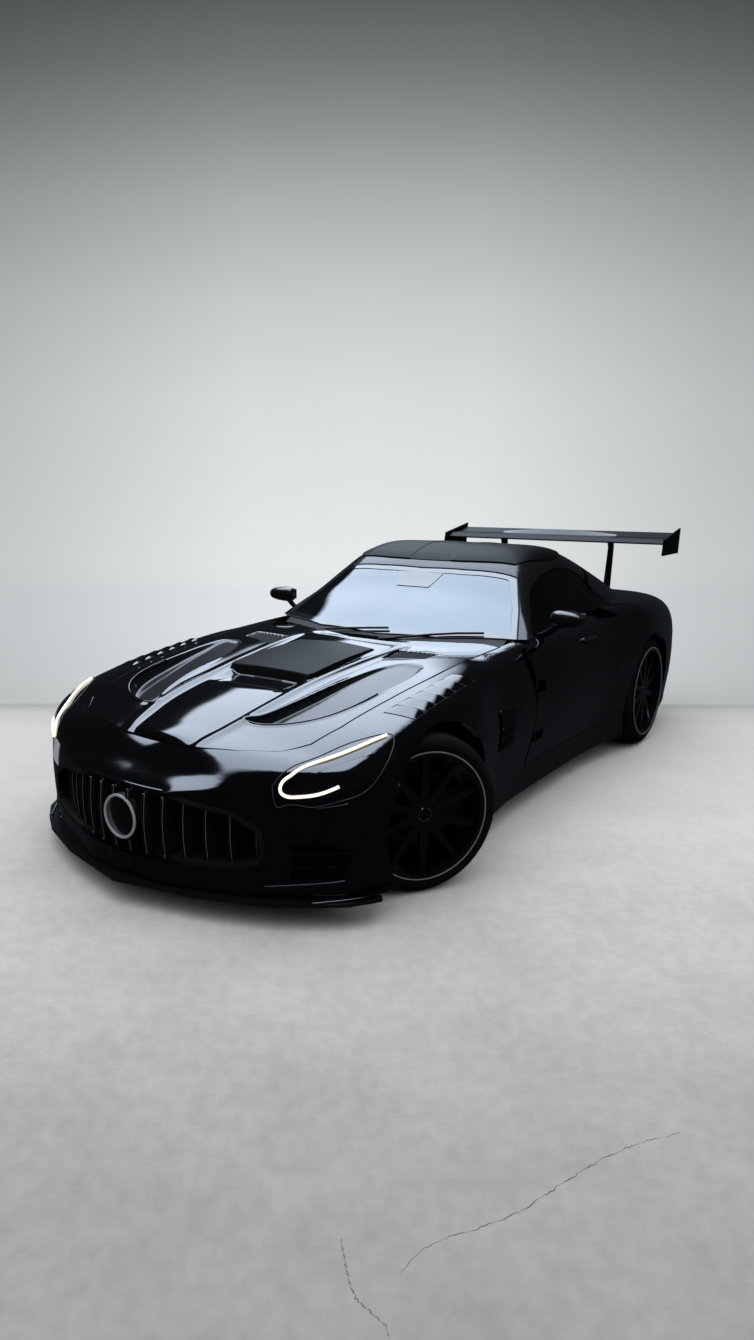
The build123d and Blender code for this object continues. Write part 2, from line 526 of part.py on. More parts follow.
SILL_REAR_Y = REAR - 330.0
sill_zone = block(SILL_IN - 25, FAR, SILL_FRONT_Y, SILL_REAR_Y, 0, SILL_TOP_Z)
sill = cut(low & sill_zone, arch_front, arch_rear)
JACK_PAD_Z = 108.0         # flat faces that a jack or stand takes
JACK_PAD_X = 810.0
JACK_PAD_YS = (SILL_FRONT_Y + 140, SILL_REAR_Y - 140)
jack_pads = [block(JACK_PAD_X - 40, JACK_PAD_X + 40, y - 40, y + 40, JACK_PAD_Z, JACK_PAD_Z + 30) for y in JACK_PAD_YS]
sill = sill.fuse(*jack_pads)
keep("side_skirts", sill, sill.mirror(Plane.YZ), smallest=60000)

rear_zone = block(-FAR, FAR, BUMPER_REAR_Y + SEAM, FAR + 900, 0, 1500)
LAMP_HALF = [(560, 700), (870, 705), (905, 780), (620, 770)]
tail_lamp_tool = front_prism(LAMP_HALF, TAIL - 330, TAIL + 50)
tail_shell = low - skin(body_half, BODY_STATIONS[2:-1], PANEL, 60)
rear_bumper = cut(tail_shell & rear_zone, gate_hole, *both_sides(tail_lamp_tool), *arches)
keep("rear_bumper", rear_bumper, smallest=60000)
tail_lamp = cut(tail_shell & front_prism(
    [(562, 701), (868, 706), (903, 779), (622, 769)], TAIL - 298, TAIL + 50), gate_hole)
keep("tail_lamps", tail_lamp, tail_lamp.mirror(Plane.YZ))

# ---------------------------------------------------------------- nose and tail trim


def splitter_half(grow):
    """Plan of the front lip: the nose's outline moved out by grow."""
    stations = [NOSE_TIP, NOSE + 110, NOSE + 220, NOSE + 300, NOSE + 390, NOSE + 480, BUMPER_LINE_Y - 90]
    points = [(0, NOSE_TIP - grow)]
    for y in stations[1:]:
        points.append((min(width(y) + grow * 0.45, HW - 30), y - grow * 0.55))
    return points


lip_inner = [(-x, y) for x, y in reversed(splitter_half(50)) if x > 0]
splitter_points = splitter_half(50) + [(HW - 60, BUMPER_LINE_Y - 100), (-(HW - 60), BUMPER_LINE_Y - 100)] + lip_inner
splitter = plan_prism(splitter_points, GROUND_CLEARANCE, GROUND_CLEARANCE + SPLITTER_T)
keep("splitter", cut(splitter - arch_front - arch_front.mirror(Plane.YZ), low))

GRILLE_BARS = 14
GRILLE_DEPTH_Y = NOSE + 100


def grille_line(grow):
    return mirrored([(max(x - grow, 0) if x else 0, z + (grow if z < 300 else -grow)) for x, z in GRILLE_HALF])


grille_ring = front_prism(grille_line(SEAM), GRILLE_DEPTH_Y, NOSE + 330) - front_prism(
    grille_line(18), GRILLE_DEPTH_Y - 10, NOSE + 340)
grille_bar_zone = front_prism(grille_line(10), NOSE + 40, NOSE + 340)
grille_back = front_prism(grille_line(10), NOSE + 318, NOSE + 330)
bars = []
for i in range(GRILLE_BARS):
    x = (i - (GRILLE_BARS - 1) / 2) * 84
    front = NOSE + 68 + 0.00062 * x * x
    bars.append(block(x - 6, x + 6, front, NOSE + 320, 150, 520) & grille_bar_zone)
grille = grille_ring.fuse(grille_back, *bars)
badge = Solid.make_cylinder(92, 26, Plane(Vector(0, NOSE + 56, 350), z_dir=(0, 1, 0)))
keep("grille", (grille + (badge & front_prism(grille_line(10), NOSE, NOSE + 330))) & low)

# ---------------------------------------------------------------- structure under the panels
FRONT_RAIL_X = 525.0
BULKHEAD_FRONT_Y = 915.0
BULKHEAD_REAR_Y = 2222.0
BULKHEAD_T = 30.0
INNER_X = 712.0
POST_Y = 962.0             # rear face of the door post
HINGE_ZS = (400.0, 655.0)
HINGE_PIN_R = 8.0
under_cowl = skin(body_half, BODY_STATIONS[2:-2], COWL_DEPTH + COWL_T + SEAT, 60)
under_panel = skin(body_half, BODY_STATIONS[2:-2], PANEL + SEAT, 60)
firewall = block(-INNER_X, INNER_X, BULKHEAD_FRONT_Y - BULKHEAD_T, BULKHEAD_FRONT_Y, FLOOR_Z - 22, 900) & under_cowl
firewall = cut(firewall, *both_sides(block(BONNET_ARM_X - 8, INNER_X + 10, 860, 960, 690, 900)))
hinge_plate = side_prism([(886, 640), (962, 640), (1116, 740), (1116, 776), (1084, 776), (1040, 742), (886, 689)],
                         BONNET_ARM_X - 8, BONNET_ARM_X - 1)
hinge_plate = hinge_plate.fuse(pin_at(BONNET_ARM_X - 4, BONNET_ARM_X + BONNET_ARM_T + 2, BONNET_HINGE_Y,
                                      BONNET_HINGE_Z, HINGE_ROD_R))
posts = block(705, FAR, BULKHEAD_FRONT_Y - BULKHEAD_T, POST_Y, SILL_TOP_Z + SEAM, 690) & under_panel
wings = block(-FAR, FAR, BULKHEAD_REAR_Y, BULKHEAD_REAR_Y + BULKHEAD_T, SILL_TOP_Z + SEAM, 760) & under_panel


def hinge_arm(z):
    """A door hinge: an arm from the post and the pin it carries."""
    arm = block(HINGE_X - 45, HINGE_X - 20.5, POST_Y - 12, HINGE_Y + 15, z - 15, z + 15)
    eye = block(HINGE_X - 45, HINGE_X + 12, HINGE_Y - 12, HINGE_Y + 12, z - 15, z + 15)
    pin = Solid.make_cylinder(HINGE_PIN_R, 70, Plane(Vector(HINGE_X, HINGE_Y, z - 35)))
    return arm.fuse(eye, pin)


post_left = posts.fuse(hinge_plate, *[hinge_arm(z) for z in HINGE_ZS])
shaft_holes = rod((-700, REAR, REAR_TYRE_R), (700, REAR, REAR_TYRE_R), 30)
tub = [
    firewall, post_left, post_left.mirror(Plane.YZ), wings,
    block(-INNER_X, INNER_X, BULKHEAD_FRONT_Y, BULKHEAD_REAR_Y, FLOOR_Z - 22, FLOOR_Z),
    block(-INNER_X, INNER_X, BULKHEAD_REAR_Y, BULKHEAD_REAR_Y + BULKHEAD_T, FLOOR_Z - 22, 760),
    block(-120, 120, BULKHEAD_FRONT_Y - 10, BULKHEAD_REAR_Y + 10, FLOOR_Z - 10, 400),
    block(-FRONT_RAIL_X, -FRONT_RAIL_X + 60, -560, BULKHEAD_FRONT_Y, FLOOR_Z - 22, 420),
    block(FRONT_RAIL_X - 60, FRONT_RAIL_X, -560, BULKHEAD_FRONT_Y, FLOOR_Z - 22, 420),
    block(-FRONT_RAIL_X, FRONT_RAIL_X, -560, BULKHEAD_FRONT_Y, FLOOR_Z - 30, FLOOR_Z - 10),
    block(-500, 500, BULKHEAD_REAR_Y, REAR + 640, FLOOR_Z + 15, FLOOR_Z + 35),
    block(-500, -440, BULKHEAD_REAR_Y, REAR + 640, FLOOR_Z + 15, 470),
    block(440, 500, BULKHEAD_REAR_Y, REAR + 640, FLOOR_Z + 15, 470),
    block(-500, 500, BULKHEAD_REAR_Y, REAR + 560, 460, 480),
]
floor = tub[0].fuse(*tub[1:]) - shaft_holes
keep("floor_pan", floor)
keep("engine_block", block(-260, 260, 140, 800, FLOOR_Z - 10 + SEAT, 640))
keep("dashboard", block(-BONNET_ARM_X + 8.5, BONNET_ARM_X - 8.5, BULKHEAD_FRONT_Y + 0.5, 1240, 560, 742))

SEAT_X = 370.0


def seat(x):
    base = block(x - 250, x + 250, 1420, 1900, FLOOR_Z + 0.5, 330)
    back = side_prism([(1800, 300), (1990, 300), (2160, 920), (2020, 960)], x - 250, x + 250)
    return base.fuse(back)


keep("seats", seat(SEAT_X), seat(-SEAT_X))
wheel_plane = Plane(Vector(SEAT_X, 1330, 640), x_dir=(1, 0, 0), z_dir=(0, 0.9, 0.42))
steering_rim = Solid.make_torus(180, 15, wheel_plane)
spoke = Solid.make_box(340, 50, 14, Plane(wheel_plane.from_local_coords(Vector(-170, -25, -7)),
                                          x_dir=(1, 0, 0), z_dir=wheel_plane.z_dir))
column = rod((SEAT_X, 1251.2, 603.6), (SEAT_X, 1330, 640), 26)
keep("steering_wheel", steering_rim.fuse(spoke, column))

# ---------------------------------------------------------------- wheels, knuckles and axles


def turned(shape, side, steer=True):
    """Turn a front corner's parts about its kingpin to the rest angle."""
    axis = Axis((side * KINGPIN_X, 0, 0), (0, 0, 1))
    return shape.rotate(axis, REST_STEER) if steer else shape


def ring(profile, x, y, z, side):
    """Revolve (axial, radius) points about a wheel's axle; axial grows outboard."""
    corners = [Vector(x + side * a, y, z + r) for a, r in profile]
    face = Face(Wire.make_polygon(corners, close=True))
    return Solid.revolve(face, 360, Axis((x, y, z), (1, 0, 0)))


def tyre(x, y, r, rim_r, half, side):
    return ring([(-half + 14, rim_r), (-half, rim_r + 22), (-half + 4, r - 30), (-half + 26, r - 6), (-half + 60, r),
                 (half - 60, r), (half - 26, r - 6), (half - 4, r - 30), (half, rim_r + 22), (half - 14, rim_r)],
                x, y, r, side)


SPOKES = 10
DISC_R = 200.0
HUB_FACE = 30.0


def rim(x, y, z, rim_r, half, side):
    """One-piece wheel: barrel, ten spokes, hub and the brake disc behind it."""
    inner = rim_r - 14
    barrel = ring([(-half + 16, rim_r - SEAT), (-half + 16, inner), (half + 1, inner), (half + 1, rim_r + 12),
                   (half - 5, rim_r + 12), (half - 13, rim_r - SEAT)], x, y, z, side)
    face = half - 46
    hub = ring([(HUB_FACE, 0), (HUB_FACE, 78), (face + 20, 68), (face + 20, 0)], x, y, z, side)
    spokes = []
    for i in range(SPOKES):
        spar = wheel_spoke(x, y, z, face, inner, side).rotate(Axis((x, y, z), (1, 0, 0)), 360 / SPOKES * i)
        spokes.append(spar)
    disc = ring([(-14, 76), (-14, DISC_R), (18, DISC_R), (18, 76)], x, y, z, side)
    hat = ring([(-6, 60), (-6, 86), (HUB_FACE + 1, 78), (HUB_FACE + 1, 60)], x, y, z, side)
    return barrel.fuse(hub, hat, disc, *spokes)


def wheel_spoke(x, y, z, face, inner, side):
    """A tapered spoke from the hub to the barrel."""
    corners = [Vector(x + side * face, y + dy, z + dz)
               for dy, dz in ((-20, 50), (-11, inner + 2), (11, inner + 2), (20, 50))]
    return Solid.extrude(Face(Wire.make_polygon(corners, close=True)), Vector(side * 20, 0, 0))


def caliper(x, y, z, r, side, angle):
    """Brake caliper that straddles the disc behind the axle."""
    piece = ring([(-46, r - 88), (-46, r + 26), (44, r + 26), (44, r - 88), (24, r - 88), (24, r + 6), (-20, r + 6),
                  (-20, r - 88)], x, y, z, side)
    wedge = side_prism([(y, z), (y + 420, z + 170), (y + 420, z - 170)], x - 200, x + 200)
    return (piece & wedge).rotate(Axis((x, y, z), (1, 0, 0)), angle)


def knuckle(x, y, z, side, kingpin):
    """Hub carrier: a stub with the upright inboard of the disc."""
    stub = ring([(-46, 0), (-46, 52), (-12, 52), (HUB_FACE - SEAT, 52), (HUB_FACE - SEAT, 0)], x, y, z, side)
    upright = side_prism([(y - 57, z - 130), (y + 57, z - 130), (y + 57, z + 150), (y - 57, z + 150)],
                         x - side * 62, x - side * 30)
    bridge = side_prism([(y + 30, z - 60), (y + 150, z - 60), (y + 150, z + 60), (y + 30, z + 60)],
                        x - side * 62, x - side * 30)
    return stub.fuse(upright, bridge, caliper(x, y, z, DISC_R, side, 0))


CORNERS = [("front_left", 1), ("front_right", -1)]
for name, side in CORNERS:
    x = side * FRONT_WHEEL_X
    half = FRONT_TYRE_W / 2
    keep("tyre_" + name, turned(tyre(x, 0, FRONT_TYRE_R, FRONT_RIM_R, half, side), side))
    keep("rim_" + name, turned(rim(x, 0, FRONT_TYRE_R, FRONT_RIM_R, half, side), side))
    keep("knuckle_" + name, turned(knuckle(x, 0, FRONT_TYRE_R, side, KINGPIN_X), side))
rear_knuckles = []
for name, side in [("rear_left", 1), ("rear_right", -1)]:
    x = side * REAR_WHEEL_X
    half = REAR_TYRE_W / 2
    keep("tyre_" + name, tyre(x, REAR, REAR_TYRE_R, REAR_RIM_R, half, side))
    keep("rim_" + name, rim(x, REAR, REAR_TYRE_R, REAR_RIM_R, half, side))
    rear_knuckles.append(knuckle(x, REAR, REAR_TYRE_R, side, x))
keep("rear_knuckles", *rear_knuckles)

KNUCKLE_IN = 62.0
arms = []
for side in (1, -1):
    for z, spread in ((FRONT_TYRE_R - 150, 120), (FRONT_TYRE_R + 170, 100)):
        arm = plan_prism([(side * (FRONT_RAIL_X + SEAT), -spread), (side * (KINGPIN_X + 10), -22),
                          (side * (KINGPIN_X + 10), 22), (side * (FRONT_RAIL_X + SEAT), spread)], z - 11, z + 11)
        reach = 9 - SEAT
        pin_z = z + 11 if z < FRONT_TYRE_R else z - 11 - reach
        pin = Solid.make_cylinder(11, reach, Plane(Vector(side * KINGPIN_X, 0, pin_z)))
        arms.append(arm.fuse(pin))
keep("suspension_arms", *arms)
shafts = [rod((side * 150, REAR, REAR_TYRE_R), (side * (REAR_WHEEL_X - KNUCKLE_IN - 0.5), REAR, REAR_TYRE_R), 18)
          for side in (1, -1)]
transaxle = block(-160, 160, REAR - 260, REAR + 160, FLOOR_Z + 35 + SEAT, 450)
keep("rear_axle", transaxle.fuse(*shafts))

# ---------------------------------------------------------------- mirrors, wipers, tail and wing
MIRROR_Y = 1330.0
MIRROR_Z = 956.0
mirror_body = Solid.make_box(190, 120, 120, Plane(Vector(848, MIRROR_Y - 60, MIRROR_Z - 60)))
mirror_body = mirror_body.fillet(36, mirror_body.edges())
mirror_arm = rod((790, MIRROR_Y - 10, 862), (880, MIRROR_Y - 10, MIRROR_Z - 40), 13)
mirror = cut(mirror_body.fuse(mirror_arm), low)
keep("mirror_left", mirror)
keep("mirror_right", mirror.mirror(Plane.YZ))



WIPER_LIFT = 15.0


def screen_point(x, y):
    """A point just over the windscreen; the height falls away from the centreline."""
    reach = abs(x) / pillar[0](y)
    return Vector(x, y, roof(y) - (roof(y) - pillar[1](y)) * reach ** 2.6 + WIPER_LIFT)


def wiper(pivot_x, pivot_y, tip_x, tip_y):
    """An arm that follows the screen, on a foot that stands on the cowl."""
    steps = [screen_point(pivot_x + (tip_x - pivot_x) * t / 4, pivot_y + (tip_y - pivot_y) * t / 4) for t in range(5)]
    pieces = [rod(p, q, 6) for p, q in zip(steps, steps[1:])]
    pieces += [Solid.make_sphere(6.6, Plane(p)) for p in steps[1:-1]]
    foot = cut(rod((pivot_x, pivot_y, 740), steps[0] + Vector(0, 0, 8), 12), cowl_seat)
    return foot.fuse(*pieces)


cowl_seat = skin(body_half, BODY_STATIONS[2:-2], COWL_DEPTH - SEAT, 60)
keep("wipers", wiper(70, 908, 590, 1085), wiper(-430, 934, 60, 1000), smallest=500)

DIFFUSER_Z = 193.0
DIFFUSER_PLATE = [(REAR + 470, DIFFUSER_Z - 40), (REAR + 700, DIFFUSER_Z - 8), (TAIL - 30, DIFFUSER_Z + 38),
                  (TAIL - 30, DIFFUSER_Z + 24), (REAR + 700, DIFFUSER_Z - 20), (REAR + 470, DIFFUSER_Z - 52)]
DIFFUSER_FIN = [(REAR + 560, DIFFUSER_Z - 44), (TAIL - 34, DIFFUSER_Z + 34), (TAIL - 34, DIFFUSER_Z - 44)]
diffuser = side_prism(DIFFUSER_PLATE, -600, 600)
fins = [side_prism(DIFFUSER_FIN, x - 5, x + 5) for x in (-420, -210, 0, 210, 420)]
keep("diffuser", cut(diffuser.fuse(*fins), low))

WING_Z = 1250.0
WING_Y = REAR + 780
wing_profile = [(WING_Y - 150, WING_Z - 8), (WING_Y - 90, WING_Z + 16), (WING_Y + 40, WING_Z + 24),
                (WING_Y + 150, WING_Z + 52), (WING_Y + 152, WING_Z + 46), (WING_Y + 30, WING_Z - 6),
                (WING_Y - 90, WING_Z - 22)]
blade = side_prism(wing_profile, -840, 840)
ends = [side_prism([(WING_Y - 190, WING_Z - 90), (WING_Y + 170, WING_Z - 90), (WING_Y + 190, WING_Z + 84),
                    (WING_Y + 60, WING_Z + 60), (WING_Y - 170, WING_Z + 20)], side * 839, side * 851)
        for side in (1, -1)]
PYLON_X = 420.0
pylons = []
for side in (1, -1):
    post = side_prism([(WING_Y - 120, 700), (WING_Y + 10, 700), (WING_Y + 50, WING_Z - 60), (WING_Y + 40, WING_Z + 4),
                       (WING_Y - 60, WING_Z + 4), (WING_Y - 30, WING_Z - 60)], side * PYLON_X - 8, side * PYLON_X + 8)
    pylons.append(cut(post, outer))
keep("rear_wing", blade.fuse(*ends, *pylons))

# the long free-form skins are moved point by point, which keeps their edges closed
AXLE_SHIFT = Matrix([[1, 0, 0, 0], [0, 1, 0, FRONT_AXLE_Y], [0, 0, 1, 0]])
POINT_MOVED = ("bonnet", "headlamps")

if __name__ == "__main__":
    for name, parts in nodes.items():
        if name in POINT_MOVED:
            moved = [p.transform_geometry(AXLE_SHIFT) for p in parts]
        else:
            moved = [p.moved(Location((0, FRONT_AXLE_Y, 0))) for p in parts]
        print(name, len(moved), round(sum(p.volume for p in moved) / 1e6, 1), all(p.is_valid for p in moved))
        export_step(Compound(children=moved) if len(moved) > 1 else moved[0], f"parts/{name}.step")
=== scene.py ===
"""Sports car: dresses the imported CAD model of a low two-seat track coupe."""
import json
import math

import bpy
import numpy as np
from mathutils import Matrix, Vector


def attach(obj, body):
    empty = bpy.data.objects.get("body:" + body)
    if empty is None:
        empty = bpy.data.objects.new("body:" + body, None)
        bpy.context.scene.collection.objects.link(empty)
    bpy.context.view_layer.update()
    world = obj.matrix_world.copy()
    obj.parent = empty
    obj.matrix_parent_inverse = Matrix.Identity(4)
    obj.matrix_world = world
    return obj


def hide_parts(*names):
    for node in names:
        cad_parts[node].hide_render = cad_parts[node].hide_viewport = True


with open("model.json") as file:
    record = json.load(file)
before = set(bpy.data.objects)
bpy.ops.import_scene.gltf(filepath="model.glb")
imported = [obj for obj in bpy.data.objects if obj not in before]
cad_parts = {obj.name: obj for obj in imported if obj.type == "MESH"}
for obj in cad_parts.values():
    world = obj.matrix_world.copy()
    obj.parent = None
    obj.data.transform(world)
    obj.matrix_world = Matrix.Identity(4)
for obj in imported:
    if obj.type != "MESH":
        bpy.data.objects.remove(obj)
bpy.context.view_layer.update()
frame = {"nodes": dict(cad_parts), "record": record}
NODES = frame["nodes"]
scene = bpy.context.scene
MM = 1000.0                # millimetres in a metre


# ------------------------------------------------------------------ materials
def colour(hex_text):
    """sRGB hex to linear RGBA."""
    def linear(c):
        return c / 12.92 if c <= 0.04045 else ((c + 0.055) / 1.055) ** 2.4
    return tuple(linear(int(hex_text[i:i + 2], 16) / 255) for i in (1, 3, 5)) + (1.0,)


def shader_of(made):
    """A material's Principled shader."""
    return made.node_tree.nodes["Principled BSDF"]


def material(name, base, **sockets):
    """A Principled material; sockets go by their names with _ for a space, colours as hex text."""
    made = bpy.data.materials.new(name)
    made.use_nodes = True
    for key, value in {"Base_Color": base, **sockets}.items():
        value = colour(value) if isinstance(value, str) else value
        shader_of(made).inputs[key.replace("_", " ")].default_value = value
    return made


def node(made, kind, inputs=None, feeds=None, stops=(), **settings):
    """Add a shader node. An input is a value, or the (node, output) that leads into it; feeds is
    (output, node, socket) for where the new one leads, and stops are a colour ramp's (place, hex)."""
    added = made.node_tree.nodes.new("ShaderNode" + kind)
    links = made.node_tree.links
    for key, value in settings.items():
        setattr(added, key, value)
    for socket, value in (inputs or {}).items():
        if isinstance(value, tuple) and isinstance(value[0], bpy.types.Node):
            links.new(value[0].outputs[value[1]], added.inputs[socket])
        else:
            added.inputs[socket].default_value = value
    for _ in stops[2:]:
        added.color_ramp.elements.new(0.5)
    for n, (place, shade) in enumerate(stops):
        added.color_ramp.elements[n].position = place
        added.color_ramp.elements[n].color = colour(shade)
    if feeds:
        output, target, socket = feeds
        links.new(added.outputs[output], target.inputs[socket])
    return added


def wandering_gloss(made, patch_mm, low, high):
    """Roughness that drifts between low and high over patches of about patch_mm."""
    where = node(made, "TexCoord")
    noise = node(made, "TexNoise", {"Vector": (where, "Object"), "Scale": MM / patch_mm, "Detail": 4.0})
    node(made, "MapRange", {"Value": (noise, "Fac"), "To Min": low, "To Max": high},
         feeds=("Result", shader_of(made), "Roughness"))
    return made


def grained(made, grain_mm, deep_mm):
    """A fine moulded, sprayed or tanned grain, grain_mm across and deep_mm deep."""
    where = node(made, "TexCoord")
    noise = node(made, "TexNoise", {"Vector": (where, "Object"), "Scale": MM / grain_mm, "Detail": 3.0})
    node(made, "Bump", {"Height": (noise, "Fac"), "Strength": 1.0, "Distance": deep_mm / MM},
         feeds=("Normal", shader_of(made), "Normal"))
    return made


TOW_MM = 4.0               # one step of the twill; a real tow is about 2 mm, too fine to show


def woven_carbon(name, dark, light, **finish):
    """2x2 twill under lacquer: the tows cross in diagonal steps of two greys close to black."""
    made = material(name, dark, Coat_Roughness=0.03, **finish)
    where = node(made, "TexCoord")
    tows = node(made, "Mapping", {"Vector": (where, "Object"), "Scale": [MM / TOW_MM] * 3})
    split = node(made, "SeparateXYZ", {"Vector": (tows, "Vector")})
    cells = [node(made, "Math", {0: (split, axis)}, operation="FLOOR") for axis in "XY"]
    total = node(made, "Math", {0: (cells[0], 0), 1: (cells[1], 0)}, operation="ADD")
    step = node(made, "Math", {0: (total, 0), 1: 2.0}, operation="PINGPONG")
    share = node(made, "MapRange", {"Value": (step, 0), "From Max": 2.0})
    node(made, "Mix", {0: (share, "Result"), 6: colour(dark), 7: colour(light)},
         feeds=(2, shader_of(made), "Base Color"), data_type="RGBA")
    return made


# gloss black lacquer, sprayed and polished: a black mirror whose gloss drifts a little
PAINT = wandering_gloss(material("black_lacquered_paint", "#020203", Roughness=0.06, Coat_Weight=1.0,
                                 Coat_Roughness=0.015, Coat_IOR=1.5), 52.0, 0.04, 0.09)
# lacquered laminate of the aero parts: close to black, with soft twill steps
CARBON = woven_carbon("lacquered_carbon_twill", "#050506", "#16171a", Roughness=0.32, Coat_Weight=1.0,
                      Specular_IOR_Level=0.1)
# clear-lacquered laminate of the mirror pods: the deepest, wettest black
GLOSS_CARBON = woven_carbon("gloss_carbon_cover", "#050506", "#0e0f11", Roughness=0.32, Coat_Weight=1.0)
# satin-lacquered laminate of the roof and wing: dull, it takes hardly any light
ROOF_CARBON = woven_carbon("satin_lacquered_roof_carbon", "#040405", "#08080a", Roughness=0.5,
                           Coat_Weight=0.06, Specular_IOR_Level=0.12)
# satin lacquer of the scoop: soft grey where the sky falls on it
SCOOP_BLACK = material("satin_black_lacquer", "#040405", Roughness=0.4, Specular_IOR_Level=0.09)
# moulded ABS with a spark-eroded grain: flat dark grey
PLASTIC = grained(material("grained_black_plastic", "#0b0b0c", Roughness=0.55), 0.24, 0.05)
# moulded and lacquered ABS: small sharp highlights along its edges
GRILLE_BLACK = material("gloss_black_abs", "#050506", Roughness=0.12, Coat_Weight=0.8, Coat_Roughness=0.03)
# laminated screen with a heat-rejecting metal-oxide film: a strong pale blue reflection
GLASS = material("solar_coated_screen_glass", "#0b1317", Roughness=0.0, Transmission_Weight=0.4, IOR=1.52,
                 Coat_Weight=1.0, Coat_IOR=1.95, Coat_Roughness=0.0, Specular_Tint="#a9e0ff")
# body-tinted float glass: nearly black, with a plain reflection
DARK_GLASS = material("privacy_glass", "#030404", Roughness=0.0, Transmission_Weight=0.15, IOR=1.5)
# black enamel fired on the screen's edge: a grey-blue band that mirrors as the glass does
FRIT = material("ceramic_printed_glass", "#23282e", Roughness=0.02, Coat_Weight=1.0, Coat_IOR=1.9)
# moulded polycarbonate over dark lamps: black and wet-looking
LENS = material("smoked_polycarbonate_lens", "#060708", Roughness=0.02, Coat_Weight=1.0, IOR=1.58)
# moulded red polycarbonate, smoked: dark cherry
TAIL_LENS = material("smoked_red_polycarbonate", "#2a0204", Roughness=0.05, Transmission_Weight=0.4, IOR=1.58)
# moulded acrylic rod with a lamp behind it: a warm white line
LAMP_LIGHT = material("lit_acrylic_light_guide", "#fff3e0", Roughness=0.3, Emission_Color="#fff0da",
                      Emission_Strength=1.0)
# the same in red
TAIL_LIGHT = material("lit_red_light_guide", "#c41414", Roughness=0.3, Emission_Color="#d01818",
                      Emission_Strength=0.7)
# pressed glass of the lamp units and their reflectors, pale grey: a painted glint for the lamps seen through
# the lens
PROJECTOR_PAINTED_GLINT = material("lamp_projector_glass", "#737b85", Roughness=0.05, Coat_Weight=1.0, IOR=1.6)
# extruded rubber round the lamps: a thin soft grey line
LAMP_SEAL = material("lamp_seal_rubber", "#26292d", Roughness=0.35)
# moulded tyre rubber: matt charcoal black
RUBBER = grained(material("moulded_tyre_rubber", "#070708", Roughness=0.75, Specular_IOR_Level=0.25),
                 0.6, 0.08)
# forged alloy under satin black lacquer: black with a broad sheen
WHEEL = material("satin_black_forged_alloy", "#060607", Roughness=0.28, Coat_Weight=0.6, Coat_Roughness=0.12)
# turned edge of the rim under lacquer: a thin pale grey ring
BRIGHT_EDGE = material("machined_aluminium_edge", "#6c7075", Roughness=0.35)
# grey lines along the edges of the slats: a painted highlight, fine upright lines that stand for the
# reflection on each edge
SLAT_PAINTED_HIGHLIGHT = material("satin_anodised_trim", "#5b5e63", Roughness=0.3)
# pale grey, not metal, on the ring of the nose and the exhaust tips: bright and smooth, its brightness a
# painted reflection in place of the shine of metal
SILVER_PAINTED_SHINE = material("silver_lacquered_ring", "#9da0a4", Roughness=0.3, Coat_Weight=0.5)
# bright chromium plate: a clear mirror
CHROME = material("polished_chrome", "#d9dadc", Metallic=1.0, Roughness=0.06)
# dark polished lacquer of the handles
CHROME_BLACK = material("dark_polished_handle", "#15171a", Roughness=0.12, Coat_Weight=1.0)
# baked gloss lacquer of the calipers
CALIPER = material("gloss_black_caliper_lacquer", "#0a0a0b", Roughness=0.2, Coat_Weight=1.0)
# cast iron, turned: grey metal that is dull in patches
METAL = wandering_gloss(material("cast_iron_machined", "#5a5a5c", Metallic=1.0, Roughness=0.45),
                        4.0, 0.35, 0.55)
# pressed steel, dipped: dark grey with a slight orange peel
STEEL = grained(material("e_coated_steel", "#131314", Roughness=0.5), 1.6, 0.1)
# woven wire under black paint, which lies in shade: matt black. The same black, laid in ducts, vent openings,
# handle recesses, the scoop's mouth and the exhaust bores, is painted shade
MESH_AND_PAINTED_SHADE = material("black_wire_mesh", "#050506", Roughness=0.6, Specular_IOR_Level=0.2)
# tanned and dyed hide: matt black with a fine pebble
LEATHER = grained(material("black_leather", "#0a0a0b", Roughness=0.55), 0.4, 0.12)
# pressed aluminium plate, painted: plain pale grey
PLATE = material("blank_plate_aluminium", "#c9ccce", Roughness=0.4)

SLOT_MATERIALS = {
    "black_paint": PAINT, "carbon": CARBON, "dark_plastic": PLASTIC, "glass": GLASS,
    "privacy_glass": DARK_GLASS, "lamp_lens": LENS, "tail_lens": TAIL_LENS, "black_wheel": WHEEL,
    "tyre": RUBBER, "cast_metal": METAL, "steel": STEEL, "trim_leather": LEATHER,
}
for part in frame["record"]["subparts"]:
    shown = NODES[part["node"]]
    shown.data.materials.clear()
    shown.data.materials.append(SLOT_MATERIALS[part["material_slot"]])
NODES["rear_wing"].data.materials[0] = ROOF_CARBON

# ------------------------------------------------------------------ the body's own curves
# Millimetres: x from the centreline, y from the front axle towards the tail, z from the ground.
LENGTH = 4610.0
FRONT_OVERHANG = 900.0
HALF_WIDTH = 1003.0
REAR_FLARE = 12.0
NOSE_LOW = 128.3
REAR = 2630.0
TAIL = LENGTH - FRONT_OVERHANG
NOSE = -FRONT_OVERHANG
HW = HALF_WIDTH
RW = HALF_WIDTH + REAR_FLARE
FRONT_AXLE_Y = FRONT_OVERHANG - LENGTH / 2
SPACING_STATION = 1700.0


def slopes(points):
    """Slopes of a smooth curve that never overshoots its points."""
    steps = [(b[0] - a[0], (b[1] - a[1]) / (b[0] - a[0])) for a, b in zip(points, points[1:])]
    inner = []
    for (h0, d0), (h1, d1) in zip(steps, steps[1:]):
        if d0 * d1 <= 0:
            inner.append(0.0)
        else:
            w0, w1 = 2 * h1 + h0, h1 + 2 * h0
            inner.append((w0 + w1) / (w0 / d0 + w1 / d1))
    return [steps[0][1]] + inner + [steps[-1][1]]


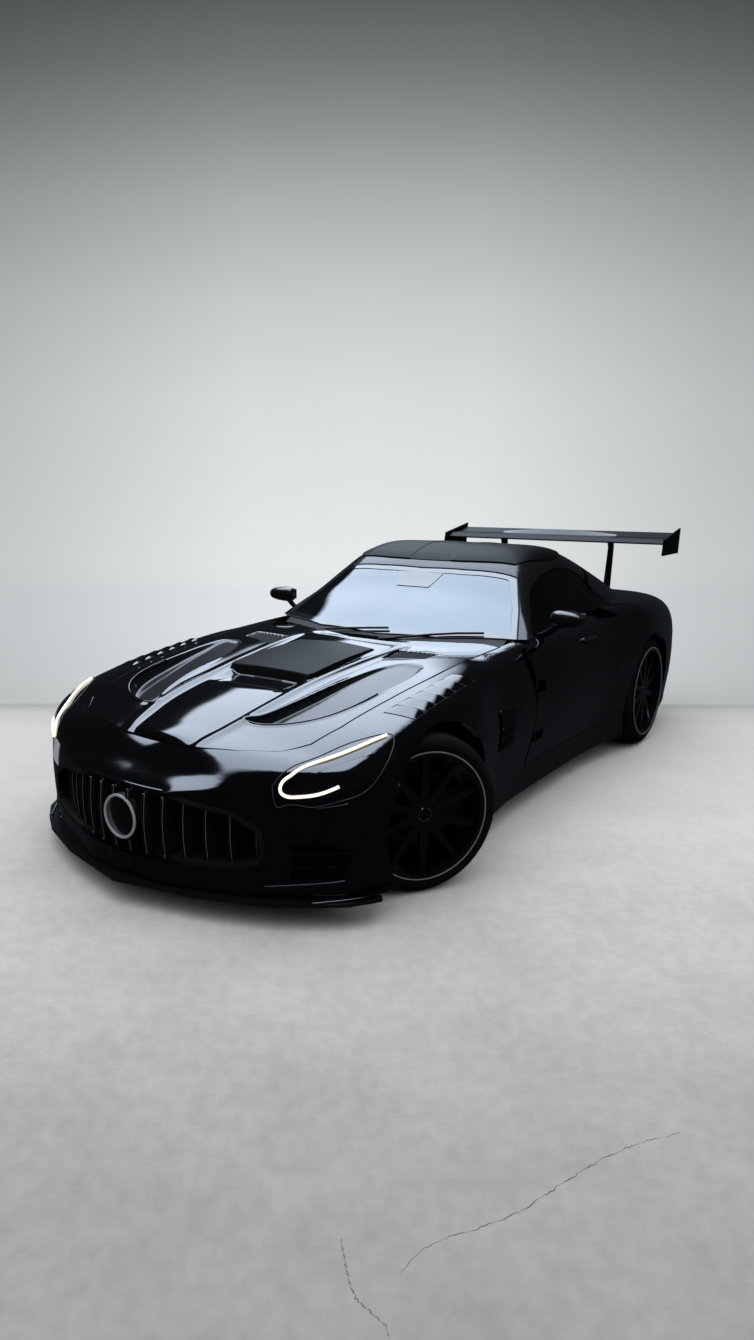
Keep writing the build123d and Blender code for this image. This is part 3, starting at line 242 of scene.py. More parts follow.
def rail(points):
    """A function of the station y through (y, value) points."""
    tangents = slopes(points)

    def value(y):
        if y <= points[0][0]:
            return points[0][1]
        for i, ((y0, v0), (y1, v1)) in enumerate(zip(points, points[1:])):
            if y <= y1:
                h = y1 - y0
                t = (y - y0) / h
                return ((1 + 2 * t) * (1 - t) ** 2 * v0 + t * (1 - t) ** 2 * h * tangents[i]
                        + t * t * (3 - 2 * t) * v1 + t * t * (t - 1) * h * tangents[i + 1])
        return points[-1][1]
    return value


def pair(points):
    """Two rails from (y, x, z) points."""
    return (rail([(y, x) for y, x, z in points]), rail([(y, z) for y, x, z in points]))


# lower body: half-width in plan, then the lines that run the length of the car
NOSE_TIP = NOSE + 50
width = rail([(NOSE_TIP, 60), (NOSE + 68, 200), (NOSE + 110, 350), (NOSE + 160, 488), (NOSE + 220, 625),
              (NOSE + 300, 748), (NOSE + 390, 860), (NOSE + 480, 922), (-340, HW - 48), (-200, HW - 15),
              (0, HW), (250, HW - 6), (500, HW - 38), (850, HW - 62), (1300, HW - 58), (1800, HW - 48),
              (REAR - 500, HW - 28), (REAR - 260, RW - 12), (REAR, RW), (REAR + 270, RW - 8),
              (REAR + 520, RW - 42), (REAR + 740, RW - 100), (TAIL - 180, RW - 190),
              (TAIL - 90, RW - 310), (TAIL - 40, RW - 440)])
crown = rail([(NOSE_TIP, 435), (NOSE + 68, 462), (NOSE + 110, 490), (NOSE + 160, 518), (NOSE + 220, 558),
              (-616, 603), (-480, 638), (-300, 678), (0, 722), (200, 748), (500, 782), (800, 812),
              (1000, 822), (1400, 815), (REAR - 300, 850), (REAR + 200, 880), (REAR + 600, 888),
              (REAR + 800, 880), (TAIL - 150, 868), (TAIL - 90, 862), (TAIL - 40, 850)])
dome = pair([(NOSE_TIP, 22, 434), (NOSE + 68, 80, 461), (NOSE + 110, 140, 491), (NOSE + 160, 190, 522),
             (NOSE + 220, 215, 566), (-616, 220, 615), (-480, 240, 655), (-300, 250, 700),
             (0, 240, 752), (200, 235, 778), (500, 230, 808), (800, 230, 832), (1000, 230, 838),
             (1400, 230, 825), (REAR - 300, 230, 852), (REAR + 200, 230, 881), (REAR + 600, 230, 889),
             (REAR + 800, 225, 880), (TAIL - 150, 215, 868), (TAIL - 90, 190, 862), (TAIL - 40, 150, 850)])
edge = pair([(NOSE_TIP, 42, 430), (NOSE + 68, 160, 455), (NOSE + 110, 295, 483), (NOSE + 160, 425, 508),
             (NOSE + 220, 558, 545), (-616, 672, 585), (-480, 790, 628), (-300, 850, 683), (0, 856, 742),
             (240, 846, 776), (460, 832, 802), (800, 815, 826), (1110, 803, 842), (1500, 797, 855),
             (1950, 795, 868), (REAR - 350, 815, 886), (REAR - 60, 872, 905), (REAR + 200, 868, 904),
             (REAR + 500, 815, 890), (REAR + 740, 740, 874), (TAIL - 180, 645, 862), (TAIL - 90, 530, 855),
             (TAIL - 40, 410, 845)])
shoulder_z = rail([(NOSE_TIP, 405), (NOSE + 110, 452), (NOSE + 220, 500), (-480, 575), (-300, 625), (0, 688),
                   (460, 735), (1000, 768), (1500, 782), (REAR - 350, 800), (REAR, 818), (REAR + 500, 800),
                   (TAIL - 180, 795), (TAIL - 40, 790)])
shoulder_in = rail([(NOSE_TIP, 7), (NOSE + 110, 16), (NOSE + 220, 24), (-480, 26), (-300, 34), (0, 40),
                    (460, 48), (1000, 58), (1500, 60), (REAR - 350, 62), (REAR, 34), (REAR + 500, 40),
                    (TAIL - 180, 50), (TAIL - 40, 48)])
waist_z = rail([(NOSE_TIP, 340), (NOSE + 220, 390), (-480, 440), (-200, 520), (0, 560), (460, 560),
                (1000, 575), (2000, 590), (REAR, 620), (REAR + 500, 600), (TAIL - 40, 600)])
lower = pair([(NOSE_TIP, 59, 235), (NOSE + 68, 198, 235), (NOSE + 110, 347, 235), (NOSE + 160, 484, 235),
              (NOSE + 220, 620, 238), (NOSE + 300, 742, 240), (NOSE + 390, 852, 245), (NOSE + 480, 914, 255),
              (-340, HW - 56, 270), (-200, HW - 20, 290), (0, HW - 4, 310), (250, HW - 20, 315),
              (500, HW - 62, 310), (1000, HW - 102, 300), (1800, HW - 98, 300), (REAR - 450, HW - 50, 310),
              (REAR, RW - 8, 340), (REAR + 500, RW - 50, 350), (REAR + 740, RW - 108, 355),
              (TAIL - 180, RW - 200, 360), (TAIL - 90, RW - 320, 360), (TAIL - 40, RW - 450, 360)])
bottom = pair([(NOSE_TIP, 55, NOSE_LOW), (NOSE + 68, 192, NOSE_LOW), (NOSE + 110, 340, NOSE_LOW),
               (NOSE + 160, 476, NOSE_LOW), (NOSE + 220, 612, NOSE_LOW), (NOSE + 300, 734, NOSE_LOW),
               (NOSE + 390, 844, NOSE_LOW), (NOSE + 480, 906, NOSE_LOW),
               (-340, HW - 64, NOSE_LOW), (-200, HW - 30, 135), (0, HW - 18, 140), (500, HW - 80, 140),
               (1000, HW - 120, 135), (1800, HW - 118, 135), (REAR - 450, HW - 70, 140),
               (REAR, RW - 20, 160), (REAR + 500, RW - 70, 190), (REAR + 740, RW - 130, 215),
               (TAIL - 180, RW - 230, 235), (TAIL - 90, RW - 350, 245), (TAIL - 40, RW - 480, 250)])
roof = rail([(560, 640), (700, 722), (941, 826), (1150, 950), (1350, 1072), (1480, 1172), (1620, 1240),
             (1850, 1287), (2100, 1274), (2400, 1215), (2700, 1122), (3000, 1010), (REAR + 620, 920),
             (REAR + 760, 850)])
roof_mid = pair([(560, 300, 620), (700, 330, 705), (941, 390, 812), (1150, 330, 944), (1350, 315, 1066),
                 (1480, 305, 1166), (1620, 300, 1236), (1850, 300, 1282), (2100, 300, 1268),
                 (2400, 300, 1206), (2700, 300, 1112), (3000, 300, 1002), (REAR + 620, 300, 912),
                 (REAR + 760, 300, 840)])
pillar = pair([(560, 600, 540), (700, 680, 640), (941, 735, 755), (1142, 775, 858), (1350, 662, 1005),
               (1520, 590, 1128), (1700, 566, 1208), (1900, 556, 1236), (2100, 556, 1222),
               (2400, 562, 1145), (2700, 580, 1042), (3000, 560, 950), (REAR + 620, 540, 860),
               (REAR + 760, 520, 780)])
glass_low = pair([(560, 660, 480), (941, 765, 640), (1142, 792, 800), (1350, 780, 850), (1700, 778, 862),
                  (2100, 775, 875), (2400, 760, 895), (2700, 730, 900), (3000, 690, 840),
                  (REAR + 620, 640, 760), (REAR + 760, 600, 700)])


def body_half(y):
    """Half section of the lower body from the centreline down to the sill."""
    w = width(y)
    return [(0, crown(y)), (dome[0](y), dome[1](y)), (edge[0](y), edge[1](y)),
            (w - shoulder_in(y), shoulder_z(y)), (w, waist_z(y)), (lower[0](y), lower[1](y)),
            (bottom[0](y), bottom[1](y))]


def cabin_half(y):
    """Half section of the greenhouse from the centreline down inside the body."""
    px, pz = pillar[0](y), pillar[1](y)
    gx, gz = glass_low[0](y), glass_low[1](y)
    return [(0, roof(y)), (roof_mid[0](y), roof_mid[1](y)), (px, pz),
            ((px + gx) / 2 + 10, (pz + gz) / 2), (gx, gz), (gx + 4, gz - 120)]


def knots(half):
    """Spline parameters for a half section, spaced by the root of each step."""
    steps = [math.hypot(b[0] - a[0], b[1] - a[1]) ** 0.5 for a, b in zip(half, half[1:])]
    total = sum(steps)
    places = [0.0]
    for step in steps:
        places.append(places[-1] + step / total / 2)
    return [0.5 - p for p in reversed(places)] + [0.5 + p for p in places[1:]]


def natural_weights(places, at):
    """Weights of a natural cubic spline through values at places, evaluated at the numbers in at."""
    k = np.array(places)
    n, h = len(k), np.diff(k)
    left, rhs = np.zeros((n, n)), np.zeros((n, n))
    left[0, 0] = left[-1, -1] = 1.0
    for i in range(1, n - 1):
        left[i, i - 1:i + 2] = h[i - 1], 2 * (h[i - 1] + h[i]), h[i]
        rhs[i, i - 1:i + 2] = 6 / h[i - 1], -6 / h[i - 1] - 6 / h[i], 6 / h[i]
    bends = np.linalg.solve(left, rhs)
    i = np.clip(np.searchsorted(k, at) - 1, 0, n - 2)
    a, b = (k[i + 1] - at) / h[i], (at - k[i]) / h[i]
    unit = np.eye(n)
    return (a[:, None] * unit[i] + b[:, None] * unit[i + 1]
            + ((a ** 3 - a) * h[i] ** 2 / 6)[:, None] * bends[i]
            + ((b ** 3 - b) * h[i] ** 2 / 6)[:, None] * bends[i + 1])


SECTION_AT = np.linspace(0.5, 1.0, 241)
BODY_WEIGHTS = natural_weights(knots(body_half(SPACING_STATION)), SECTION_AT)
CABIN_WEIGHTS = natural_weights(knots(cabin_half(SPACING_STATION)), SECTION_AT)
CABIN = (cabin_half, CABIN_WEIGHTS)
TABLE_ALONG, TABLE_ACROSS = 10.0, 2.0   # mm between the places of a table of heights
TABLE_HALF = 1000                       # mm from the centreline to its edge


def section_line(half, weights, y):
    """(x, z) down one side of the section at station y."""
    side = half(y)
    return weights @ np.array([(-x, z) for x, z in reversed(side[1:])] + side)


def heights(x, y, half=body_half, weights=BODY_WEIGHTS):
    """Height of the upper surface over plan points (x, y), read between the places of a table."""
    first = math.floor(y.min() / TABLE_ALONG) * TABLE_ALONG
    table = []
    for station in np.arange(first, y.max() + 2 * TABLE_ALONG, TABLE_ALONG):
        line = section_line(half, weights, station)
        line = line[:np.argmax(line[:, 0]) + 1]
        table.append(np.interp(np.arange(0, TABLE_HALF, TABLE_ACROSS), line[:, 0], line[:, 1]))
    table = np.array(table)
    row, col = (y - first) / TABLE_ALONG, np.abs(x) / TABLE_ACROSS
    r, c = row.astype(int), col.astype(int)
    fr, fc = row - r, col - c
    return ((table[r, c] * (1 - fc) + table[r, c + 1] * fc) * (1 - fr)
            + (table[r + 1, c] * (1 - fc) + table[r + 1, c + 1] * fc) * fr)


def spaced(points, lengths, count):
    """count points at even steps of the running lengths."""
    at = np.linspace(0, lengths[-1], count)
    return np.stack([np.interp(at, lengths, points[:, i]) for i in range(points.shape[1])], 1)


def run_along(points):
    """Distance along points to each of them, measured in their first two coordinates."""
    return np.concatenate([[0], np.cumsum(np.hypot(*np.diff(points, axis=0).T[:2]))])


def straight_runs(points, count):
    """count points evenly spaced along straight runs between points."""
    p = np.array(points, float)
    return spaced(p, run_along(p), count)


def curve_through(points, count):
    """count points evenly spaced along a smooth curve through points."""
    p = np.array(points, float)
    chords = run_along(p)
    fine = natural_weights(chords, np.linspace(0, chords[-1], count * 6)) @ p
    return spaced(fine, run_along(fine), count)


def mirrored_ring(half):
    """A closed outline from the half of it on one side of the centreline."""
    return np.array(half + [(-a, b) for a, b in reversed(half) if a] + half[:1], float)


def inside_by(outline, x, y):
    """Signed distance to a closed outline, positive inside."""
    ring = np.array(outline, float)
    nearest = np.full(len(x), 1e9)
    odd = np.zeros(len(x), bool)
    for (x0, y0), (x1, y1) in zip(ring, np.roll(ring, -1, axis=0)):
        dx, dy = x1 - x0, y1 - y0
        t = np.clip(((x - x0) * dx + (y - y0) * dy) / (dx * dx + dy * dy + 1e-9), 0, 1)
        nearest = np.minimum(nearest, np.hypot(x - x0 - t * dx, y - y0 - t * dy))
        crosses = (y0 > y) != (y1 > y)
        odd ^= crosses & (x < dx * (y - y0) / (dy if dy else 1e-9) + x0)
    return np.where(odd, nearest, -nearest)


def smooth_step(low, high, value):
    """0 up to low, 1 from high on, and a smooth rise between."""
    t = np.clip((value - low) / (high - low), 0, 1)
    return t * t * (3 - 2 * t)


def at_each(line, y):
    """The value of a rail at each of the stations y."""
    return np.array([line(v) for v in y.ravel()]).reshape(y.shape)


# ------------------------------------------------------------------ ways of making pieces
SIDES = (("left", 1), ("right", -1))
UP = np.array([0, 0, 1.0])
CREASE = math.radians(40)  # a patch's edges stay sharp above this angle


def metres(points):
    """Station millimetres to the frame's metres."""
    return (np.asarray(points, float) + [0.0, FRONT_AXLE_Y, 0.0]) / MM


def spread(rows, columns, down=(0.0, 1.0), across=(-1.0, 1.0)):
    """Grid coordinates (v, u): v runs down the rows and u across the columns."""
    return np.meshgrid(np.linspace(*down, rows), np.linspace(*across, columns), indexing="ij")


def placed(x, y, z):
    """Points from coordinates, any of which may be one number for all."""
    return np.stack(np.broadcast_arrays(x, y, z), -1).astype(float)


def on_side(points, side):
    """Left-hand grid points, or their mirror image wound the same way round."""
    p = np.asarray(points, float)
    return p if side > 0 else p[:, ::-1] * [-1, 1, 1]


def quads(rings, around, closed_rings=False, closed_around=False):
    """Faces between rings of points; a plain grid where neither direction is closed."""
    i, k = np.meshgrid(np.arange(rings if closed_rings else rings - 1),
                       np.arange(around if closed_around else around - 1), indexing="ij")
    i, k = i.ravel(), k.ravel()
    following, beside = (i + 1) % rings * around, (k + 1) % around
    return np.stack([i * around + k, i * around + beside, following + beside, following + k], 1)


def rim_of(rows, columns):
    """Point numbers round the edge of a grid."""
    return np.concatenate([np.arange(columns), np.arange(1, rows) * columns + columns - 1,
                           (rows - 1) * columns + np.arange(columns - 2, -1, -1),
                           np.arange(rows - 2, 0, -1) * columns])


def mesh_piece(name, verts, faces, made, rides, smooth=True, slots=None):
    """A mesh from points in metres; slots gives each face's place in made when made is a list."""
    mesh = bpy.data.meshes.new(name)
    mesh.from_pydata([tuple(v) for v in np.reshape(verts, (-1, 3))], [], [tuple(f) for f in faces])
    for m in made if isinstance(made, list) else [made]:
        mesh.materials.append(m)
    if slots is not None:
        mesh.polygons.foreach_set("material_index", slots)
    if smooth:
        mesh.polygons.foreach_set("use_smooth", [True] * len(mesh.polygons))
    mesh.update()
    piece = bpy.data.objects.new(name, mesh)
    scene.collection.objects.link(piece)
    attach(piece, rides)
    return piece


def tube(name, path, radius, made, rides, closed=False, sides=10, flat=1.0):
    """A round or flattened bar along station points in mm."""
    p = metres(path)
    n = len(p)
    ahead = (np.roll(p, -1, 0) - np.roll(p, 1, 0)) if closed else np.gradient(p, axis=0)
    ahead /= np.linalg.norm(ahead, axis=1)[:, None]
    # the section is squared to the frame axis that the path keeps clearest of
    over = np.eye(3)[np.argmin(np.abs(ahead).max(axis=0) + [0.02, 0.01, 0])]
    across = np.cross(ahead, over)
    across /= np.linalg.norm(across, axis=1)[:, None]
    upward = np.cross(across, ahead)
    turn = np.linspace(0, math.tau, sides, endpoint=False)
    ring = (across[:, None] * np.cos(turn)[None, :, None]
            + upward[:, None] * np.sin(turn)[None, :, None] * flat)
    faces = list(quads(n, sides, closed, True))
    if not closed:
        faces += [tuple(range(sides - 1, -1, -1)), tuple(range((n - 1) * sides, n * sides))]
    return mesh_piece(name, p[:, None] + ring * radius / MM, faces, made, rides)


def spokes(out, turn):
    """Unit vectors square to out, turned by each angle from straight up."""
    return UP[None] * np.cos(turn)[:, None] + np.cross(UP, out)[None] * np.sin(turn)[:, None]


def lathed(name, profile, centre, out, made, rides, count=96, start=0.0, sweep=360.0, closed=True):
    """Turn (along, radius) points in mm about an axis through centre (m) along the vector out."""
    out = np.array(Vector(out).normalized())
    full = sweep >= 360
    prof = np.array(profile, float) / MM
    m = len(prof)
    spin = spokes(out, np.radians(start + np.linspace(0, sweep, count, endpoint=not full)))
    verts = np.array(centre) + out * prof[None, :, :1] + spin[:, None] * prof[None, :, 1:]
    faces = list(quads(count, m, full, closed))
    if not full and closed:
        faces += [tuple(range(m)), tuple(range((count - 1) * m + m - 1, (count - 1) * m - 1, -1))]
    return mesh_piece(name, verts, faces, made, rides)


def thick_patch(name, points, thickness, made, rides, lift=0.0, smooth=True):
    """A grid of station points given thickness (mm) downwards along its own normals."""
    p = np.asarray(points, float)
    normal = np.cross(np.gradient(p, axis=1), np.gradient(p, axis=0))
    normal /= np.linalg.norm(normal, axis=2)[..., None] + 1e-12
    rows, columns = p.shape[:2]
    top, low = p + normal * lift, p + normal * (lift - thickness)
    faces, edge, n = quads(rows, columns), rim_of(rows, columns), rows * columns
    ring = np.stack([edge, n + edge, n + np.roll(edge, -1), np.roll(edge, -1)], 1)
    piece = mesh_piece(name, metres(np.stack([top, low])), np.concatenate([faces, faces[:, ::-1] + n, ring]),
                       made, rides, smooth)
    piece.data.set_sharp_from_angle(angle=CREASE)
    return piece


def joined(name, pieces):
    """Join meshes that share a material set into one piece."""
    with bpy.context.temp_override(active_object=pieces[0], object=pieces[0], selected_objects=pieces,
                                   selected_editable_objects=pieces):
        bpy.ops.object.join()
    pieces[0].name = name
    return pieces[0]


def flank(y, z):
    """How far out the body's side stands at station y and height z."""
    line = section_line(body_half, BODY_WEIGHTS, y)
    widest = np.argmax(line[:, 0])
    low = line[widest:] if z < line[widest, 1] else line[:widest + 1]
    order = np.argsort(low[:, 1])
    return float(np.interp(z, low[order, 1], low[order, 0]))


def between(corners, v, u):
    """Places in a quad: u along its first edge, v from there to the opposite one."""
    a, b, c, d = np.array(corners, float)
    v, u = v[..., None], u[..., None]
    return (1 - v) * ((1 - u) * a + u * b) + v * ((1 - u) * d + u * c)


def flank_patch(corners, rows, columns):
    """Side surface points over a (y, z) quad: corners front-low, rear-low, rear-high, front-high."""
    over = between(corners, *spread(rows, columns, across=(0, 1)))
    return np.array([[(flank(y, z), y, z) for y, z in row] for row in over])


def laid_on(points, node_names, lift):
    """Station points moved onto the nearest packed surface among the nodes, raised by lift mm."""
    laid = []
    for point in metres(points):
        best = None
        for name in node_names:
            solid = NODES[name]
            local = solid.matrix_world.inverted() @ Vector(point)
            found, near, normal, _ = solid.closest_point_on_mesh(local)
            gap = (near - local).length
            if found and (best is None or gap < best[0]):
                best = gap, solid.matrix_world @ near, (solid.matrix_world.to_3x3() @ normal).normalized()
        facing = best[2].dot(Vector(point) - best[1]) > -1e-4 or best[2].z > -0.3
        laid.append(best[1] + (best[2] if facing else -best[2]) * lift / MM)
    return np.array(laid) * MM - [0.0, FRONT_AXLE_Y, 0.0]


# ------------------------------------------------------------------ bonnet
HOOD_FRONT = [(0, -616), (200, -622), (400, -590), (560, -535)]
HOOD_SIDE = [(560, -535), (640, -440), (680, -300), (706, 0), (724, 300), (738, 650), (744, 950)]
HOOD_REAR = [(0, 872), (400, 905), (640, 962), (744, 950)]
HOOD_RETURN = 0.022        # metres that the skin's edge turns down
LINER_BELOW, LINER_SHARE = 48, 0.985    # mm under the skin, and its width as a share of the skin's
ridge_line = rail([(-618, 200), (-470, 238), (-350, 258), (-200, 266), (0, 270), (200, 284), (400, 300),
                   (600, 320), (800, 340)])
ridge_rise = rail([(-618, 3), (-520, 11), (-300, 15), (300, 15), (600, 11), (800, 0)])
RIDGE_INNER, RIDGE_OUTER = 22.0, 26.0   # how fast a ridge falls away on either side
CENTRE_BULGE = 9.0         # the middle panel is domed between the two ridges
OUTLET = [(262, -392), (330, -402), (420, -382), (510, -330), (578, -245), (614, -140), (632, 20), (648, 200),
          (644, 340), (606, 448), (520, 452), (455, 380), (415, 240), (394, 80), (376, -80), (346, -220),
          (300, -340)]
OUTLET_DEEP = 40.0         # at its front; it runs out to the surface at the rear
OUTLET_FRONT, OUTLET_LONG = 430.0, 780.0
LIP_RISE = 5.0
SCOOP = [(0, 60), (236, 62), (250, 100), (236, 600), (0, 640)]
scoop_rise = rail([(60, 26), (300, 21), (620, 6)])
MOUTH_DIP = 22.0           # the bonnet sinks ahead of the scoop's mouth
DECK_VENT = [(352, 492), (560, 545), (572, 655), (346, 652)]
VENT_DEEP, VENT_SLAT, VENT_PITCH, VENT_LEAN = 10.0, 6.0, 24.0, 0.35
BARE, WOVEN, MESH_AND_MOUTH_SHADE, SATIN = range(4)   # finishes of the skin, in the order of its materials


def hood_shape(x, y):
    """(height, finish) over plan points of the bonnet."""
    a = np.abs(x)
    z = heights(x, y)
    crest = at_each(ridge_line, y)
    domed = smooth_step(-640, -585, y) * (1 - smooth_step(760, 872, y))
    middle = heights(crest, y) + CENTRE_BULGE * (1 - (a / crest) ** 2)
    z = np.where(a < crest, z + domed * (middle - z), z)
    off = a - crest
    z += at_each(ridge_rise, y) * np.exp(-(off / np.where(off < 0, RIDGE_INNER, RIDGE_OUTER)) ** 2)
    deep = inside_by(curve_through(OUTLET + OUTLET[:1], 90)[:-1], a, y)
    lip = smooth_step(-22, -3, deep) * (1 - smooth_step(-3, 2, deep)) * (1 - smooth_step(-60, 200, y))
    z += LIP_RISE * lip
    fall = np.clip((OUTLET_FRONT - y) / OUTLET_LONG, 0, 1)
    floor_drop = OUTLET_DEEP * fall ** 0.8 + 2.0 + 16.0 * np.clip((a - 380) / 250.0, 0, 1) * fall ** 0.3
    z -= smooth_step(-3, 22 + 10 * smooth_step(430, 560, a), deep) * floor_drop
    scoop = inside_by(SCOOP + [(-p, q) for p, q in reversed(SCOOP[1:-1])], a, y)
    z -= MOUTH_DIP * smooth_step(-150, 50, y) * (1 - smooth_step(170, 235, a)) * (1 - smooth_step(58, 66, y))
    z += smooth_step(-2, 8, scoop) * at_each(scoop_rise, y)
    vent = inside_by(DECK_VENT, a, y)
    z -= smooth_step(0, 7, vent) * VENT_DEEP
    wave = 0.5 + 0.5 * np.sin((y + VENT_LEAN * a) / VENT_PITCH * math.tau)
    z += smooth_step(4, 9, vent) * VENT_SLAT * wave
    # the front face of the scoop takes the dark mesh: painted shade for its mouth
    throat_shade = (np.abs(scoop) < 5) & (y < 75) & (a < 232)
    finish = np.select([deep > 4, throat_shade, scoop > 4, vent > 4], [WOVEN, MESH_AND_MOUTH_SHADE, SATIN, MESH_AND_MOUTH_SHADE], BARE)
    return z, finish


def hood_plan(rows, columns):
    """Plan points of the bonnet: a patch between its three edges and the centreline, and its mirror image."""
    f, r = straight_runs(HOOD_FRONT, columns), straight_runs(HOOD_REAR, columns)
    s = straight_runs(HOOD_SIDE, rows)
    v, u = (g[..., None] for g in spread(rows, columns, across=(0, 1)))
    half = (1 - v) * f + v * r + u * (s[:, None] - (1 - v) * f[-1] - v * r[-1])
    plan = np.concatenate([half[:, :0:-1] * [-1, 1], half], 1)
    return plan[..., 0].ravel(), plan[..., 1].ravel(), 2 * columns - 1


def bonnet_skin():
    """Painted skin in one piece, turned down at its edge, and the moulded liner under it."""
    rows = 300
    x, y, wide = hood_plan(rows, 141)
    z, finish = hood_shape(x, y)
    verts = metres(placed(x, y, z))
    faces, edge = quads(rows, wide), rim_of(rows, wide)
    n, first = len(edge), len(verts)
    verts = np.concatenate([verts, verts[edge] - [0, 0, HOOD_RETURN]])
    below = first + np.arange(n)
    ring = np.stack([edge, below, np.roll(below, -1), np.roll(edge, -1)], 1)
    slots = np.concatenate([finish[faces[:, 0]], np.full(n, BARE)])
    skin = mesh_piece("bonnet_skin", verts, np.concatenate([faces, ring]),
                      [PAINT, CARBON, MESH_AND_PAINTED_SHADE, SCOOP_BLACK], "bonnet", slots=slots)
    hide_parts("bonnet")
    x, y, wide = hood_plan(40, 20)
    x = x * LINER_SHARE
    liner = metres(placed(x, y, heights(x, y) - LINER_BELOW))
    mesh_piece("bonnet_liner", liner, quads(40, wide), PLASTIC, "bonnet")


def outlet_lip(side_name, side):
    """A rolled bead along the front and outer edge of the outlet."""
    edge = curve_through([(262, -392), (330, -404), (420, -385), (512, -333), (582, -247), (619, -140),
                          (638, 20)], 80)
    path = placed(edge[:, 0] * side, edge[:, 1], heights(edge[:, 0], edge[:, 1]) + 4.5)
    tube("outlet_lip_" + side_name, path, 4.2, PAINT, "bonnet", sides=12)


# ------------------------------------------------------------------ front wings: louvres over the wheels
LOUVRES = 6
LOUVRE_BED = [(758, -118), (890, -88), (884, 432), (780, 402)]   # front-inner, front-outer, and the rear two
LOUVRE_COLUMNS = 14
BLADE_START, BLADE_END = 0.03, 0.8      # share of the pitch that a blade covers
BLADE_RISE, BLADE_CLEAR, BLADE_THICK = 9, 2.0, 2.5


def louvre_bed(v, u):
    """Points on the wing: v runs along the row of louvres, u from their inner to their outer ends."""
    x, y = np.moveaxis(between(LOUVRE_BED, v, u), -1, 0)
    return placed(x, y, heights(x, y))


def louvres(side_name, side):
    """Six blades, each rising towards its rear edge, over a dark sheet of painted shade where the duct lies.
    """
    bed = louvre_bed(*spread(60, LOUVRE_COLUMNS, across=(0, 1)))
    # a dark sheet on the wing under the blades: painted shade for the duct
    thick_patch("louvre_duct_" + side_name, on_side(bed, side), 3, MESH_AND_PAINTED_SHADE, "body", lift=1.2)
    bow = np.sin(np.linspace(0, math.pi, LOUVRE_COLUMNS))[None] ** 0.5
    blades = []
    for n in range(LOUVRES):
        t, u = spread(9, LOUVRE_COLUMNS, across=(0.02, 0.98))
        blade = louvre_bed((n + BLADE_START + (BLADE_END - BLADE_START) * t) / LOUVRES, u)
        blade[..., 2] += t ** 1.2 * BLADE_RISE * bow + BLADE_CLEAR
        blades.append(thick_patch("louvre_blade", on_side(blade, side), BLADE_THICK, PAINT, "body"))
    joined("louvre_blades_" + side_name, blades)


# ------------------------------------------------------------------ nose: grille, badge ring, intakes, lamps
GRILLE_HALF = [(0, 484), (300, 474), (500, 446), (600, 388), (612, 310), (588, 240), (500, 212), (0, 204)]
BADGE_Y, BADGE_Z, BADGE_R = NOSE + 56, 350, 92
SLATS, SLAT_PITCH, SLAT_R = 14, 84, 8.0
SLAT_INSET = 14            # the slats end this far inside the mouth
HIGHLIGHT_ASIDE, HIGHLIGHT_AHEAD, HIGHLIGHT_R = 7.4, 3, 1.5   # the painted highlight along each slat's edge
RING_CLEAR = 84            # two slats stop this far above and below the ring's centre
SLAT_BOW, SLAT_MIDDLE, SLAT_REACH = 16, 344, 150   # the slats bow forward by so much at their middle
NOSE_PLAN = 0.00062                     # the nose falls back by this much times x squared
INTAKE = [(-640, 186), (-430, 186), (-430, 352), (-640, 352)]
INTAKE_FINS, FIN_RISE, FIN_THICK = (232, 284), 6, 12   # heights, how much a fin climbs rearwards, its depth
FRONT_PLATE_AT = (-640, -690, 470)


def circle(centre, radius, count=72):
    """Points of an upright ring that faces along the car."""
    turn = np.linspace(0, math.tau, count, endpoint=False)
    return placed(centre[0] + radius * np.cos(turn), centre[1], centre[2] + radius * np.sin(turn))


def grille_dressing():
    """Upright slats with a painted highlight down each edge, a plain ring with a blank face, and the mouth's
    surround.
    """
    slats, edges = [], []
    for i in range(SLATS):
        x = (i - (SLATS - 1) / 2) * SLAT_PITCH
        top = np.interp(abs(x), [0, 300, 500, 600, 612], [484, 474, 446, 388, 330]) - SLAT_INSET
        low = np.interp(abs(x), [0, 500, 588, 612], [204, 212, 240, 300]) + SLAT_INSET
        whole = abs(x) > BADGE_R
        spans = [(low, top)] if whole else [(low, BADGE_Z - RING_CLEAR), (BADGE_Z + RING_CLEAR, top)]
        for ends in spans:
            z = np.linspace(*ends, 14)
            bow = SLAT_BOW * (1 - ((z - SLAT_MIDDLE) / SLAT_REACH) ** 2)
            y = NOSE + 66 + NOSE_PLAN * x * x - np.clip(bow, 0, SLAT_BOW)
            slats.append(tube("slat", placed(x, y, z), SLAT_R, GRILLE_BLACK, "body", sides=12))
            # a thin grey tube beside each slat: painted highlight on its edge
            line = placed(x + HIGHLIGHT_ASIDE, y - HIGHLIGHT_AHEAD, z)
            edges.append(tube("slat_edge", line, HIGHLIGHT_R, SLAT_PAINTED_HIGHLIGHT, "body", sides=6))
    joined("grille_slats", slats)
    joined("grille_slat_edges", edges)
    # the ring's pale grey is a painted reflection
    tube("badge_ring", circle((0, BADGE_Y - 4, BADGE_Z), BADGE_R - 6), 6.0, SILVER_PAINTED_SHINE, "body", closed=True,
         sides=12)
    lathed("badge_face", [(0, 0), (0, BADGE_R - 8), (3.0, BADGE_R - 12), (5.0, 0)],
           metres([0, BADGE_Y, BADGE_Z]), (0, -1, 0), GRILLE_BLACK, "body", closed=False)
    rim = curve_through(mirrored_ring(GRILLE_HALF), 160)[:-1]
    rim_y = NOSE + 62 + 0.00058 * rim[:, 0] ** 2
    tube("grille_surround", placed(rim[:, 0], rim_y + 18, rim[:, 1]), 7, GRILLE_BLACK, "body", closed=True)


